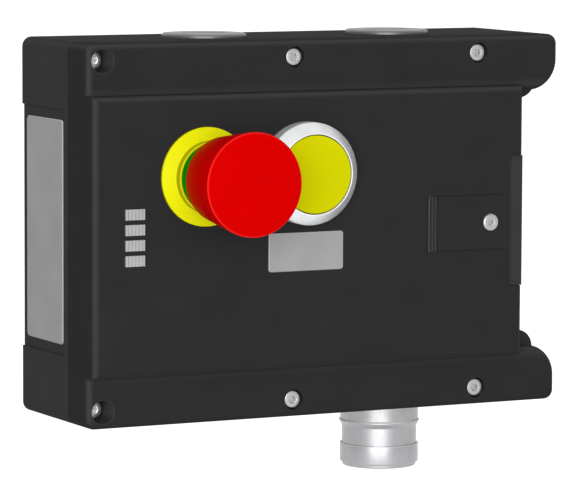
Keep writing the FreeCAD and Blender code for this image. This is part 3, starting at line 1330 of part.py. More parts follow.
def spindle_seal():
    """The seal around the release spindle."""
    span = (f"{WELL} - spindle_seal_height", WELL)
    inner = "spindle_radius + running_gap"
    return tube("release_spindle_seal", "forward", (SPINDLE_X, "0"), span, "spindle_seal_radius", inner)


def release_flap():
    """The flap over the release, hinged at its grooved left edge."""
    half = "(well_half_height - flap_gap)"
    flat = block(
        "flap_flat",
        (HINGE_X, f"{WELL_RIGHT} - flap_gap"),
        (f"{PANEL} - flap_thickness", PANEL),
        (f"-{half}", half),
    )
    knuckle = rod("flap_knuckle", "z", (HINGE_X, HINGE), (f"-{half}", half), "hinge_sunk")
    through = (f"-{half} - 1", f"{half} + 1")
    tools = [rod("flap_pin_bore", "z", (HINGE_X, HINGE), through, "hinge_pin_radius + running_gap")]
    for index in range(3):
        middle = f"({HINGE_X} + {index}*rib_pitch)"
        groove = block(
            f"flap_groove_{index}",
            (f"{middle} - rib_groove/2", f"{middle} + rib_groove/2"),
            (f"{PANEL} - rib_groove", f"{PANEL} + 1"),
            through,
        )
        tools.append(groove)
    span = (f"{PANEL} - flap_thickness - 1", f"{PANEL} + 1")
    tools.append(rod("flap_screw_hole", "forward", (FLAP_SCREW_X, "0"), span, "screw_radius + press_gap"))
    return cut("release_flap", join("flap_solid", [flat, knuckle]), tools)


def flap_screw():
    """The captive screw of the flap."""
    reach = "flap_thickness + flap_gap + flap_screw_reach"
    return pan_screw(
        "flap_screw", (FLAP_SCREW_X, "0"), PANEL, reach,
        "screw_radius", "flap_head_radius", "flap_head_height", "drive_radius*0.8", "drive_depth*0.8",
    )


def flap_hinge_pin():
    """The flap's hinge pin, fixed in the well's side walls."""
    reach = "(well_half_height + hinge_pin_reach)"
    return rod("flap_hinge_pin", "z", (HINGE_X, HINGE), (f"-{reach}", reach), "hinge_pin_radius")


def read_head():
    """The read head beside the tongue slot."""
    x = (f"{BLOCK_LEFT} - reader_width", BLOCK_LEFT)
    forward = ("block_back", "block_back + reader_depth")
    return block("read_head", x, forward, ("reader_bottom", "reader_bottom + reader_height"))


# Board and terminals


BOARD_FRONT = "(board_back + board_thickness)"


def main_board():
    """The circuit board on its four posts."""
    high = (f"-{BOARD_EDGE}", BOARD_EDGE)
    blank = block("board_blank", (BOARD_LEFT, BOARD_RIGHT), ("board_back", BOARD_FRONT), high)
    holes = []
    for index, (x, z) in enumerate(board_screw_places()):
        span = ("board_back - 1", f"{BOARD_FRONT} + 1")
        holes.append(rod(f"board_hole_{index}", "forward", (x, z), span, "small_screw_radius + slide_gap"))
    return cut("main_board", blank, holes)


def main_board_screws():
    """The four screws of the circuit board."""
    screws = []
    for index, (x, z) in enumerate(board_screw_places()):
        shank_span = ("board_back - small_screw_grip + free_gap", BOARD_FRONT)
        shank = rod(f"board_screw_shank_{index}", "forward", (x, z), shank_span, "small_screw_radius")
        head_span = (BOARD_FRONT, f"{BOARD_FRONT} + small_head_height")
        head = rod(f"board_screw_head_{index}", "forward", (x, z), head_span, "small_head_radius")
        screws.append(join(f"board_screw_{index}", [shank, head]))
    return group("main_board_screws", screws)


def terminals(name, order):
    """A terminal block with a row of wire entries on its front and underside."""
    left = f"({BOARD_LEFT} + terminal_inset + {order}*({TERMINAL_WIDTH} + terminal_gap))"
    right = f"({left} + {TERMINAL_WIDTH})"
    front = f"({BOARD_FRONT} + terminal_depth)"
    solid = block(name + "_blank", (left, right), (BOARD_FRONT, front), (TERMINAL_BOTTOM, TERMINAL_TOP))
    holes = []
    for way in range(int(number_of("terminal_ways"))):
        x = f"({left} + {TERMINAL_WIDTH}*({way} + 0.5)/terminal_ways)"
        middle = f"({BOARD_FRONT} + terminal_depth/2)"
        entry_span = (f"{TERMINAL_BOTTOM} - 1", f"{TERMINAL_BOTTOM} + terminal_entry_depth")
        holes.append(rod(f"{name}_entry_{way}", "z", (x, middle), entry_span, "terminal_entry"))
        screw_place = (x, f"({TERMINAL_TOP} - terminal_height/3)")
        screw_span = (f"{front} - terminal_screw_depth", f"{front} + 1")
        holes.append(rod(f"{name}_screw_{way}", "forward", screw_place, screw_span, "terminal_entry"))
    return cut(name, solid, holes)


# Connector


CONNECTOR = (CONNECTOR_X, PORT_FORWARD)


def connector_body():
    """The connector's shell, screwed into the lower right entry; distances run down from the housing."""
    outline = [
        ("shell_bore", "-(port_boss_length + locknut_height + 1)"),
        ("port_thread_radius - press_gap", "-(port_boss_length + locknut_height + 1)"),
        ("port_thread_radius - press_gap", "0"),
        ("neck_radius", "0"),
        ("neck_radius", "neck_length"),
        ("waist_radius - press_gap - thread_bevel", "neck_length"),
        ("waist_radius - press_gap - thread_bevel", "waist_start"),
        ("waist_radius", "waist_start"),
        ("waist_radius", "cuff_start"),
        ("nose_radius", "cuff_start"),
        ("nose_radius", "connector_length - edge_bevel"),
        ("nose_radius - edge_bevel", "connector_length"),
        ("shell_bore", "connector_length"),
    ]
    return turned("connector_body", "down", CONNECTOR, f"-{TOP}", outline)


def connector_ring():
    """The snap ring above the waist, with two fine grooves on its taper."""
    outline = [
        ("waist_radius - thread_bevel", "neck_length"),
        ("neck_radius", "neck_length"),
        ("ring_radius", "neck_length + ring_length/2"),
        ("ring_radius", "neck_length + ring_length"),
        ("waist_radius + groove_depth", "waist_start - groove_step*3"),
        ("waist_radius", "waist_start - groove_step*2"),
        ("waist_radius + groove_depth", "waist_start - groove_step"),
        ("waist_radius", "waist_start"),
        ("waist_radius - thread_bevel", "waist_start"),
    ]
    return turned("connector_ring", "down", CONNECTOR, f"-{TOP}", outline)


def connector_cuff():
    """The lower cuff of the connector."""
    outline = [
        ("nose_radius + press_gap", "cuff_start"),
        ("cuff_radius - screw_bevel", "cuff_start"),
        ("cuff_radius", "cuff_start + screw_bevel"),
        ("cuff_radius", "cuff_start + cuff_length - edge_bevel"),
        ("cuff_radius - edge_bevel", "cuff_start + cuff_length"),
        ("nose_radius + press_gap", "cuff_start + cuff_length"),
    ]
    return turned("connector_cuff", "down", CONNECTOR, f"-{TOP}", outline)


def contact_places():
    """Yields each contact pin's X and forward place, in two rings."""
    for radius, count in (("contact_circle", "contact_count"), ("inner_circle", "inner_count")):
        for index in range(int(number_of(count))):
            angle = f"({index}*360/{count} * 1 deg)"
            yield f"{CONNECTOR_X} + {radius}*cos{angle}", f"{PORT_FORWARD} + {radius}*sin{angle}"


INSERT_FACE = f"({TOP} + connector_length - insert_sunk)"


def connector_insert():
    """The insulating insert that holds the pins."""
    span = (f"-{INSERT_FACE}", f"-({TOP} - port_boss_length)")
    solid = rod("insert_solid", "z", CONNECTOR, span, "shell_bore - press_gap")
    holes = []
    for index, spot in enumerate(contact_places()):
        reach = (f"-{INSERT_FACE} - 1", f"-({TOP} - port_boss_length) + 1")
        holes.append(rod(f"insert_hole_{index}", "z", spot, reach, "contact_pin_radius + press_gap"))
    return cut("connector_insert", solid, holes)


def connector_pins():
    """The contact pins."""
    pins = []
    for index, spot in enumerate(contact_places()):
        span = (f"-{INSERT_FACE} - contact_pin_reach", f"-({TOP} - port_boss_length) + 2")
        pins.append(rod(f"contact_pin_{index}", "z", spot, span, "contact_pin_radius"))
    return group("connector_pins", pins)


def connector_locknut():
    """The nut that holds the connector from inside."""
    span = (f"-({TOP} - port_boss_length)", f"-({TOP} - port_boss_length - locknut_height)")
    blank = hexagon("locknut_blank", "z", CONNECTOR, span, "locknut_radius")
    bore = rod("locknut_bore", "z", CONNECTOR, span, "port_thread_radius")
    return cut("connector_locknut", blank, [bore])


# All sub-parts

parts = [
    rear_housing(),
    front_cover(),
    cover_seal(),
    cover_screws(),
    cover_screw_inserts(),
    mounting_inserts(),
    nameplate(),
    label_plate(),
    light_pipe(0),
    light_pipe(1),
    light_pipe(2),
    light_pipe(3),
    lamp_board(),
    lamp_board_screws(),
    plug(*PLUGS[0]),
    plug(*PLUGS[1]),
    plug(*PLUGS[2]),
    plug_seals(),
    estop_collar(),
    estop_body(),
    control_nut("estop_nut", ESTOP_X),
    estop_ring(),
    panel_seal("estop_panel_seal", ESTOP_X),
    estop_plunger(),
    estop_head(),
    contact_block("estop_contact_block", ESTOP_X, "contact_back", "contact_bore"),
    button_bezel(),
    button_body(),
    control_nut("button_nut", BUTTON_X),
    panel_seal("button_panel_seal", BUTTON_X),
    button_lens(),
    button_plunger(),
    button_spring(),
    contact_block("button_contact_block", BUTTON_X, "contact_back", None),
    bolt_receptacle(),
    receptacle_screws(),
    lock_bolt(),
    lock_slider(),
    solenoid_frame(),
    solenoid_coil(),
    solenoid_plunger(),
    return_spring(),
    release_spindle(),
    release_crank(),
    spindle_seal(),
    release_flap(),
    flap_screw(),
    flap_hinge_pin(),
    read_head(),
    main_board(),
    main_board_screws(),
    terminals("input_terminals", 0),
    terminals("output_terminals", 1),
    connector_body(),
    connector_ring(),
    connector_cuff(),
    connector_insert(),
    connector_pins(),
    connector_locknut(),
]

for part in parts:
    part.Label = part.Name

doc.recompute()

for item in doc.Objects:
    if "Invalid" in item.State or "Error" in item.State:
        raise RuntimeError(f"{item.Name} did not build: {item.State}")
for part in parts:
    if part.Shape.isNull() or not part.Shape.isValid():
        raise RuntimeError(f"{part.Label} has no valid shape")

os.makedirs("parts", exist_ok=True)
for part in parts:
    part.Shape.exportStep(f"parts/{part.Label}.step")
    print(part.Label, len(part.Shape.Solids), round(part.Shape.Volume, 1))
print(len(parts), "nodes")
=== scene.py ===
import json
import math

import bmesh
import bpy
from mathutils import Matrix, Vector


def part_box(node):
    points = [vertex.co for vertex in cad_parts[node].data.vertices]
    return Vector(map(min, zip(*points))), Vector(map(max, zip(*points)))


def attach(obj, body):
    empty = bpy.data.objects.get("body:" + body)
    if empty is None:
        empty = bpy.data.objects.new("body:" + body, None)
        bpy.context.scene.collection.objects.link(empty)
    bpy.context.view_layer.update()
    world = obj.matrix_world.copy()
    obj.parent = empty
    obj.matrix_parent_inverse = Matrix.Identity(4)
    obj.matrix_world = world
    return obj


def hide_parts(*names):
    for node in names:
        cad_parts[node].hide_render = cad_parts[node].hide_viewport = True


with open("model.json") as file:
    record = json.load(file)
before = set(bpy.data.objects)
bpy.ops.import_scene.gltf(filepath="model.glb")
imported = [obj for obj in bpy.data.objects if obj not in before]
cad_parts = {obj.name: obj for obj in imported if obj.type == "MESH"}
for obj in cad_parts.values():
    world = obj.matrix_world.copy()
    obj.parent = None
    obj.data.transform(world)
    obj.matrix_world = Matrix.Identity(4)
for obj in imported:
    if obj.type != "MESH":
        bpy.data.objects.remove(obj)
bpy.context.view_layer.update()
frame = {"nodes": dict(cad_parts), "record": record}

# Guard locking module, X right, Z up, front towards -Y: sizes are in millimetres, the scene is in metres

MM = 0.001
NODES = frame["nodes"]


def box(node):
    """The low and the high corner of a node's box, in millimetres to a hundredth."""
    return [[round(value / MM, 2) for value in corner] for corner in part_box(node)]


# Panel and strips: how far their faces stand off the wall, and where the panel ends above and below
COVER_LOW, COVER_HIGH = box("front_cover")
HALF_HEIGHT = COVER_HIGH[2]
PANEL = -COVER_LOW[1]
STRIP = PANEL - 4.5
PANEL_EDGE = HALF_HEIGHT - 15.5

# Cover screws: three columns in two rows, the left column in deep seats
SCREW_HEAD = 2.95
SCREW_LOW, SCREW_HIGH = box("cover_screws")
SCREW_COLUMNS = (SCREW_LOW[0] + SCREW_HEAD, (SCREW_LOW[0] + SCREW_HIGH[0]) / 2, SCREW_HIGH[0] - SCREW_HEAD)
SCREW_ROW = HALF_HEIGHT - 5.3
DEEP_SEAT, SEAT = STRIP - 9, STRIP - 3.1
SEAT_HEIGHTS = (DEEP_SEAT, SEAT, SEAT)
DEEP_SEAT_RADIUS = 3.66

# Screw threads and tips
THREAD = 1.5
POINT = 0.3

# Painted light against the shade in inner corners, gaps and deep seats: how far it reaches there, and where
# the left heads, which get painted light too, end
CORNER_REACH, CORNER_START = 2.4, 1.2
GAP_REACH, GAP_FADE = 0.9, 0.3
SEAT_FADE = 0.15
LEFT_HEADS, LEFT_FADE = SCREW_COLUMNS[0] + 5.6, 1

# Painted highlights of the ribs at the release flap's left end: their places along X and their width
FLAP_LEFT = box("release_flap")[0][0]
RIBS = (FLAP_LEFT + 0.4, FLAP_LEFT + 1.45, FLAP_LEFT + 2.5)
RIB_WIDTH = 0.3

# Directions: the parts of a normal between which a tone fades
AXIS_ALIGNED = (0.8, 0.985)
FACING_DOWN = (-0.4, -0.05)
FACING_UP = (0.08, 0.3)
ALONG_WALL = (0.15, 0.35)
ALONG_GAP = (0.2, 0.45)
ACROSS = (0.1, 0.5)
RIM_START, RIM_END = (0.25, 0.6), (0.8, 0.97)

# Surfaces: how metallic a dull face is, the sizes of patches in colour and gloss, and how far those wander
DULL = 0.1
FLOW_MARKS, PLATING_CLOUDS = 14, 3
GLOSS_PER_GRAIN, METAL_GLOSS = 6, 1.2
UNEVEN = 0.05


# Materials: every finish is made of nodes in object space, so that it stays on the piece

def linear(value):
    """One sRGB value from 0 to 255 as scene-linear."""
    share = value / 255
    return share / 12.92 if share <= 0.04045 else ((share + 0.055) / 1.055) ** 2.4


def colour(*values):
    """An sRGB colour as scene-linear with full alpha."""
    return tuple(linear(value) for value in values) + (1.0,)


def scaled(rgb, share):
    """A colour times a share, up to white."""
    return tuple(min(channel * share, 1.0) for channel in rgb[:3]) + (1.0,)


def fill(tree, node, values):
    """Sets a node's inputs to numbers and colours, or links them to sockets."""
    for label, value in values.items():
        socket = node.inputs[label]
        if isinstance(value, bpy.types.NodeSocket):
            tree.links.new(value, socket)
        else:
            socket.default_value = value
    return node


def calc(tree, operation, *values):
    """The result of a math node on numbers and sockets."""
    node = tree.nodes.new("ShaderNodeMath")
    node.operation = operation
    return fill(tree, node, dict(enumerate(values))).outputs[0]


class Finish:
    """A material and what its looks are made from; masks are 1 where they cover and 0 elsewhere."""

    def __init__(self, name, **settings):
        self.material = bpy.data.materials.new(name)
        self.material.use_nodes = True
        self.tree = self.material.node_tree
        self.shader = self.tree.nodes["Principled BSDF"]
        self.feed(**settings)
        coordinates = self.tree.nodes.new("ShaderNodeTexCoord").outputs
        self.space, self.normal = coordinates["Object"], coordinates["Normal"]

    def feed(self, **settings):
        """Sets or links the shader's inputs, with an underscore for each space in their names."""
        fill(self.tree, self.shader, {label.replace("_", " "): value for label, value in settings.items()})

    def add(self, kind, values):
        """The outputs of a new node with its inputs set or linked."""
        return fill(self.tree, self.tree.nodes.new("ShaderNode" + kind), values).outputs

    def calc(self, operation, *values):
        """The result of a math node on numbers and sockets."""
        return calc(self.tree, operation, *values)

    def noise(self, size, detail, space=None):
        """Noise whose features are about a size in millimetres."""
        values = {"Vector": space or self.space, "Scale": 1 / (size * MM), "Detail": detail}
        return self.add("TexNoise", values)["Fac"]

    def stretched(self, scale):
        """Object space, stretched by a scale along each axis."""
        return self.add("Mapping", {"Vector": self.space, "Scale": scale})["Vector"]

    def spread(self, source, low, high, start=0.3, end=0.7):
        """Brings a value from a range between start and end to one between low and high."""
        values = {"Value": source, "From Min": start, "From Max": end, "To Min": low, "To Max": high}
        return self.add("MapRange", values)["Result"]

    def part(self, source, axis):
        """One part of a vector."""
        return self.add("SeparateXYZ", {"Vector": source})[axis]

    def size(self, source, axis):
        """One part of a vector without its sign."""
        return self.calc("ABSOLUTE", self.part(source, axis))

    def on_edges(self):
        """Rounded and bevelled edges that don't face down, where a highlight is painted."""
        parts = [self.size(self.normal, axis) for axis in "XYZ"]
        most = self.calc("MAXIMUM", self.calc("MAXIMUM", parts[0], parts[1]), parts[2])
        upper = self.spread(self.part(self.normal, "Z"), 0, 1, *FACING_DOWN)
        return self.calc("MULTIPLY", self.spread(most, 1, 0, *AXIS_ALIGNED), upper)

    def on_walls(self, fade):
        """Walls that run along the Y axis."""
        return self.spread(self.size(self.normal, "Y"), 1, 0, *fade)

    def on_rims(self):
        """Rounded rims between such walls and the faces across them, where a highlight is painted."""
        forward = self.size(self.normal, "Y")
        rise = self.spread(forward, 0, 1, *RIM_START)
        fall = self.spread(forward, 1, 0, *RIM_END)
        return self.calc("MULTIPLY", rise, fall)

    def on_lines(self, places, width):
        """Thin upright lines at places along X."""
        across = self.part(self.space, "X")
        total = 0
        for place in places:
            total = self.calc("MAXIMUM", total, self.calc("COMPARE", across, place * MM, width * MM / 2))
        return total

    def in_corners(self, place, start, reach):
        """Inner corners at a height above and below the middle, fading away from it, where light is painted
        against their shade.
        """
        height = self.size(self.space, "Z")
        outer = self.spread(height, 1, 0, place * MM, (place + reach) * MM)
        inner = self.spread(height, 0, 1, (place - start) * MM, place * MM)
        forward = self.spread(self.size(self.normal, "Y"), 0, 1, *ACROSS)
        return self.calc("MULTIPLY", self.calc("MULTIPLY", outer, inner), forward)

    def in_gaps(self, reach, fade):
        """Walls of the gaps in the panel, down to a reach behind its face, where light is painted against
        their shade.
        """
        start = (reach - PANEL) * MM
        near = self.spread(self.part(self.space, "Y"), 1, 0, start, start + fade * MM)
        return self.calc("MULTIPLY", self.on_walls(ALONG_GAP), near)

    def in_seats(self, x, z, radius, fade):
        """Round screw seats at a place and at its mirror image, where light is painted against their shade.
        """
        across = self.calc("SUBTRACT", self.part(self.space, "X"), x * MM)
        along = self.calc("SUBTRACT", self.size(self.space, "Z"), z * MM)
        squares = [self.calc("MULTIPLY", distance, distance) for distance in (across, along)]
        return self.spread(self.calc("ADD", *squares), 1, 0, (radius * MM) ** 2, ((radius + fade) * MM) ** 2)

    def left_of(self, x, fade):
        """What lies on the left of a place, used for the painted light on the left screw heads."""
        return self.spread(self.part(self.space, "X"), 1, 0, (x - fade) * MM, x * MM)

    def tint(self, mask, under, over):
        """Lays a colour over another, or over a mix, by a mask."""
        node = self.tree.nodes.new("ShaderNodeMix")
        node.data_type = "RGBA"
        mixed = fill(self.tree, node, {"Factor": mask, "A": under, "B": over}).outputs["Result"]
        self.feed(Base_Color=mixed)
        return mixed

    def dull(self, mask, under, over, metallic):
        """Lays a colour over another by a mask, and takes the metal's sheen away there."""
        self.feed(Metallic=self.spread(mask, metallic, DULL, 0, 1))
        return self.tint(mask, under, over)

    def mottle(self, size, rgb, share):
        """Cloudy patches that are darker and lighter than a colour by a share."""
        patches = self.spread(self.noise(size, 4), 0, 1)
        return self.tint(patches, scaled(rgb, 1 - share), scaled(rgb, 1 + share))

    def gloss(self, size, low, high):
        """Cloudy roughness between two values."""
        self.feed(Roughness=self.spread(self.noise(size, 3), low, high))

    def bump(self, source, height):
        """Raises the surface by a height in millimetres."""
        values = {"Height": source, "Strength": 1.0, "Distance": height * MM}
        self.feed(Normal=self.add("Bump", values)["Normal"])


def moulded(name, rgb, roughness, grain, height, specular=0.06, mottle=0.06,
            corners=0, seats=0, gaps=0, edge_highlight=0, walls=None, rim=None, ribs=None):
    """Moulded plastic with an eroded grain, flow marks and uneven gloss. Its inner corners, deep seats and
    gaps are brighter by a factor as painted light against their shade, its rounded edges by a factor as a
    painted highlight, and its walls take a given colour as painted shade, and its rims and ribs given
    colours as painted highlights."""
    finish = Finish(name, Specular_IOR_Level=specular)
    body = finish.mottle(FLOW_MARKS, rgb, mottle)
    # Painted light: the inner corners at the panel's step are lighter, against the shade there
    if corners:
        mask = finish.in_corners(PANEL_EDGE, CORNER_START, CORNER_REACH)
        body = finish.tint(mask, body, scaled(rgb, corners))
    # Painted light: the walls of the left deep seats are lighter, against the shade in them
    if seats:
        mask = finish.in_seats(SCREW_COLUMNS[0], SCREW_ROW, DEEP_SEAT_RADIUS, SEAT_FADE)
        body = finish.tint(mask, body, scaled(rgb, seats))
    # Painted light: the walls of the panel's gaps are lighter, against the shade in them
    if gaps:
        body = finish.tint(finish.in_gaps(GAP_REACH, GAP_FADE), body, scaled(rgb, gaps))
    # Painted highlight: rounded edges that don't face down are lighter by a factor
    if edge_highlight:
        body = finish.tint(finish.on_edges(), body, scaled(rgb, edge_highlight))
    # Painted shade: walls along Y take a given colour, a darker yellow on the collar
    if walls:
        body = finish.tint(finish.on_walls(ALONG_WALL), body, walls)
    # Painted highlight: the rounded rims take a lighter colour, pinkish on the red head
    if rim:
        body = finish.tint(finish.on_rims(), body, rim)
    # Painted highlights: thin light lines at the ribs of the release flap
    if ribs:
        finish.tint(finish.on_lines(RIBS, RIB_WIDTH), body, ribs)
    finish.gloss(grain * GLOSS_PER_GRAIN, roughness - UNEVEN, roughness + UNEVEN)
    finish.bump(finish.noise(grain, 2), height)
    return finish.material


def metal(name, rgb, roughness, grain, height, stretch=(1, 1, 1), metallic=1.0,
          upper=None, walls=None, left=None):
    """Worked or plated metal with directional marks and cloudy gloss. Faces that look up and walls take dull
    colours as painted light, and the left heads a lighter one as painted light against the shade of their
    deep seats."""
    finish = Finish(name, Metallic=metallic)
    body = finish.mottle(PLATING_CLOUDS, rgb, UNEVEN)
    # Painted light: faces that look up take a lighter dull colour, on the connector's nickel
    if upper:
        mask = finish.spread(finish.part(finish.normal, "Z"), 0, 1, *FACING_UP)
        body = finish.dull(mask, body, upper, metallic)
    # Painted light: walls along Y take a dull colour that renders lighter, on the bezel
    if walls:
        body = finish.dull(finish.on_walls(ALONG_WALL), body, walls, metallic)
    # Painted light: the left screw heads take a lighter colour, against the shade of their deep seats
    if left:
        finish.tint(finish.left_of(LEFT_HEADS, LEFT_FADE), body, left)
    finish.gloss(METAL_GLOSS, roughness - UNEVEN, roughness + UNEVEN * 1.2)
    finish.bump(finish.noise(grain, 2, finish.stretched(stretch)), height)
    return finish.material


ERODED = dict(roughness=0.95, grain=0.35, height=0.012, specular=0.05)
COVER = dict(ERODED, rgb=colour(45, 45, 46))
PLASTICS = {
    # Painted highlights: each edge factor below lightens the rounded edges that don't face down
    "base_plastic": dict(ERODED, rgb=colour(58, 58, 59), edge_highlight=1.25),
    # Painted light against shade: the corner, seat and gap factors lighten inner corners, deep seats and gap
    # walls
    "cover_plastic": dict(COVER, corners=1.5, seats=2.8, gaps=4.0, edge_highlight=1.85),
    # Painted light and highlights: the gap factor lightens the gap walls against their shade, and the rib
    # colour lays light lines at the ribs
    "ribbed_plastic": dict(COVER, gaps=2.2, ribs=colour(80, 80, 81)),
    "inner_plastic": dict(rgb=colour(60, 60, 63), roughness=0.6, grain=0.5, height=0.01),
    "seal_rubber": dict(rgb=colour(34, 34, 34), roughness=0.8, grain=0.3, height=0.01),
    "plate_grey": dict(rgb=colour(164, 164, 164), roughness=0.6, grain=0.4, height=0.003, edge_highlight=1.5),
    "clear_lamp": dict(
        rgb=colour(182, 184, 185), roughness=0.3, grain=0.6, height=0.003, specular=0.2, mottle=0.04,
    ),
    "estop_yellow": dict(
        rgb=colour(238, 238, 10), roughness=0.4, grain=0.8, height=0.003, specular=0.04, mottle=0.02,
        # Painted shade: a darker yellow on the collar's walls along Y
        walls=colour(190, 182, 6),
    ),
    "estop_red": dict(
        rgb=colour(214, 1, 1), roughness=0.3, grain=0.8, height=0.003, specular=0.004, mottle=0.03,
        # Painted highlight: a lighter red on the head's rounded rim
        rim=colour(246, 40, 36),
    ),
    "ring_green": dict(rgb=colour(0, 160, 0), roughness=0.45, grain=0.8, height=0.003),
    "lens_yellow": dict(
        rgb=colour(217, 217, 2), roughness=0.4, grain=0.8, height=0.002, specular=0.02, mottle=0.02,
    ),
    "board_green": dict(rgb=(0.02, 0.15, 0.05, 1.0), roughness=0.45, grain=1.0, height=0.01),
    "terminal_grey": dict(rgb=colour(150, 154, 156), roughness=0.5, grain=0.5, height=0.01),
}
METALS = {
    "steel": dict(
        # Painted light: a lighter steel for the left heads, against the shade of their deep seats
        rgb=colour(168, 168, 170), roughness=0.4, grain=0.3, height=0.004, left=colour(204, 204, 205),
    ),
    "brass": dict(rgb=(0.72, 0.52, 0.22, 1.0), roughness=0.3, grain=0.3, height=0.004, stretch=(1, 30, 1)),
    "nickel": dict(
        rgb=colour(160, 160, 162), roughness=0.36, grain=0.25, height=0.002, stretch=(1, 1, 12),
        # Painted light: a lighter dull nickel on faces that look up
        upper=colour(225, 225, 226),
    ),
    "plug_metal": dict(rgb=colour(120, 120, 121), roughness=0.42, grain=0.3, height=0.005),
    "bezel_silver": dict(
        rgb=colour(232, 234, 235), roughness=0.38, grain=0.2, height=0.0008, stretch=(1, 20, 1),
        # Painted light: a dull silver that renders lighter on the bezel's walls
        metallic=0.75, walls=colour(206, 207, 208),
    ),
    "copper": dict(rgb=(0.62, 0.3, 0.13, 1.0), roughness=0.35, grain=0.3, height=0.02, stretch=(1, 1, 6)),
    "gold": dict(rgb=(0.85, 0.66, 0.28, 1.0), roughness=0.22, grain=0.2, height=0.002),
}
FINISHES = {name: moulded(name, **look) for name, look in PLASTICS.items()}
FINISHES.update({name: metal(name, **look) for name, look in METALS.items()})


def paint(piece, finish):
    """Gives a piece one finish, on every slot it has."""
    if not piece.data.materials:
        piece.data.materials.append(finish)
    for slot in piece.material_slots:
        slot.material = finish


for subpart in frame["record"]["subparts"]:
    paint(NODES[subpart["node"]], FINISHES[subpart["material_slot"]])
paint(NODES["release_flap"], FINISHES["ribbed_plastic"])


# Pieces: turned and bevelled forms that stand for the plain CAD solids

def rounded(outline, steps=4):
    """Rounds the corners of (radius, height, rounding) points; a fourth value is a six-lobe wave."""
    result = []
    for index, (radius, height, rounding, *wave) in enumerate(outline):
        here = Vector((radius, height))
        before = (Vector(outline[index - 1][:2]) - here).normalized() * rounding
        after = (Vector(outline[(index + 1) % len(outline)][:2]) - here).normalized() * rounding
        for step in range(steps + 1) if rounding else [0]:
            share = step / steps
            spot = here + before * (1 - share) ** 2 + after * share ** 2
            result.append((spot.x, spot.y, wave[0] if wave else 0))
    return result


def lathe(outline, centre, down=False, segments=96):
    """Turns a closed outline about an axis that points forwards, with heights that count from the wall, or
    down, with heights that count from the middle."""
    form = bmesh.new()
    rings = []
    for radius, height, wave in rounded(outline):
        ring = []
        for step in range(segments if radius > 0 else 1):
            angle = 2 * math.pi * step / segments
            reach = radius + wave * math.cos(6 * angle)
            across, along = centre[0] + reach * math.cos(angle), centre[1] + reach * math.sin(angle)
            place = (across, along, -height) if down else (across, -height, along)
            ring.append(form.verts.new(Vector(place) * MM))
        rings.append(ring)
    for index, ring in enumerate(rings):
        other = rings[index - 1]
        if len(ring) == 1 and len(other) == 1:
            continue
        for step in range(segments):
            corners = [ring[step % len(ring)], ring[(step + 1) % len(ring)],
                       other[(step + 1) % len(other)], other[step % len(other)]]
            form.faces.new(list(dict.fromkeys(corners)))
    return form


def turned(node, down=False):
    """A turned node's centre, radius, and the heights of its two ends along its axis."""
    low, high = box(node)
    axis, cross = (2, 1) if down else (1, 2)
    centre = [round((low[side] + high[side]) / 2, 2) for side in (0, cross)]
    return centre, round((high[0] - low[0]) / 2, 2), -high[axis], -low[axis]


def stop_head():
    """The red head: a flared knob with a bore for the plunger."""
    centre, radius, back, front = turned("estop_head")
    bore, neck, floor = 6.05, 12.9, back + 13.6
    outline = [
        (0, floor, 0), (bore, floor, 0), (bore, back, 0.2), (neck, back, 0.6), (radius, front, 1.0),
        (0, front, 0),
    ]
    return lathe(outline, centre)


def stop_collar():
    """The yellow collar: a sleeve, a flange over the seal, a cone, and a step round the green ring."""
    centre, radius, back, front = turned("estop_collar")
    bore, sleeve, seal, brow, lip = 9.3, 11, 13.83, 10.9, 10.3
    under, rim, shoulder, floor = PANEL + 0.5, PANEL + 0.8, PANEL + 2.2, PANEL + 2.5
    outline = [
        (bore, floor, 0), (bore, back, 0), (sleeve, back, 0.4), (sleeve, under, 0), (seal, under, 0),
        (seal, PANEL, 0), (radius, PANEL, 0), (radius, rim, 0.3), (brow, shoulder, 0.2), (brow, front, 0.35),
        (lip, front, 0.1), (lip, floor, 0),
    ]
    return lathe(outline, centre)


def stop_ring():
    """The green ring in the collar."""
    centre, radius, back, front = turned("estop_indicator_ring")
    bore = 8
    return lathe([(bore, back, 0), (bore, front, 0.15), (radius, front, 0.15), (radius, back, 0)], centre)


def lamp_bezel():
    """The pushbutton's bezel: an upright wall and a cone up to the lens."""
    centre, radius, back, front = turned("button_bezel")
    seal, brow, bore = 14.83, 12.4, 12.1
    under, shoulder = PANEL + 2.6, PANEL + 4
    outline = [
        (seal, back, 0), (radius, back, 0), (radius, shoulder, 0.3), (brow, front, 0.15), (bore, front, 0.1),
        (bore, under, 0), (seal, under, 0),
    ]
    return lathe(outline, centre)


def lamp_lens():
    """The pushbutton's lens, flat with a rounded edge."""
    centre, radius, back, front = turned("button_lens")
    return lathe([(0, back, 0), (radius, back, 0), (radius, front, 0.3), (0, front, 0)], centre)


def plug_shell():
    """The connector's shell: a shank in the wall, a neck, a groove for the snap ring, a waist and a nose."""
    centre, neck, back, front = turned("connector_body", down=True)
    ring_start, ring_end = turned("connector_ring", down=True)[2:]
    cuff_start = turned("connector_cuff", down=True)[2]
    bore, shank, groove, waist, nose = 9.4, 9.97, 10.92, 11.75, 11.6
    outline = [
        (bore, back, 0), (shank, back, 0), (shank, HALF_HEIGHT, 0), (neck, HALF_HEIGHT, 0),
        (neck, ring_start, 0), (groove, ring_start, 0), (groove, ring_end, 0), (waist, ring_end, 0),
        (waist, cuff_start, 0), (nose, cuff_start, 0), (nose, front, 0.4), (bore, front, 0.3),
    ]
    return lathe(outline, centre, down=True)


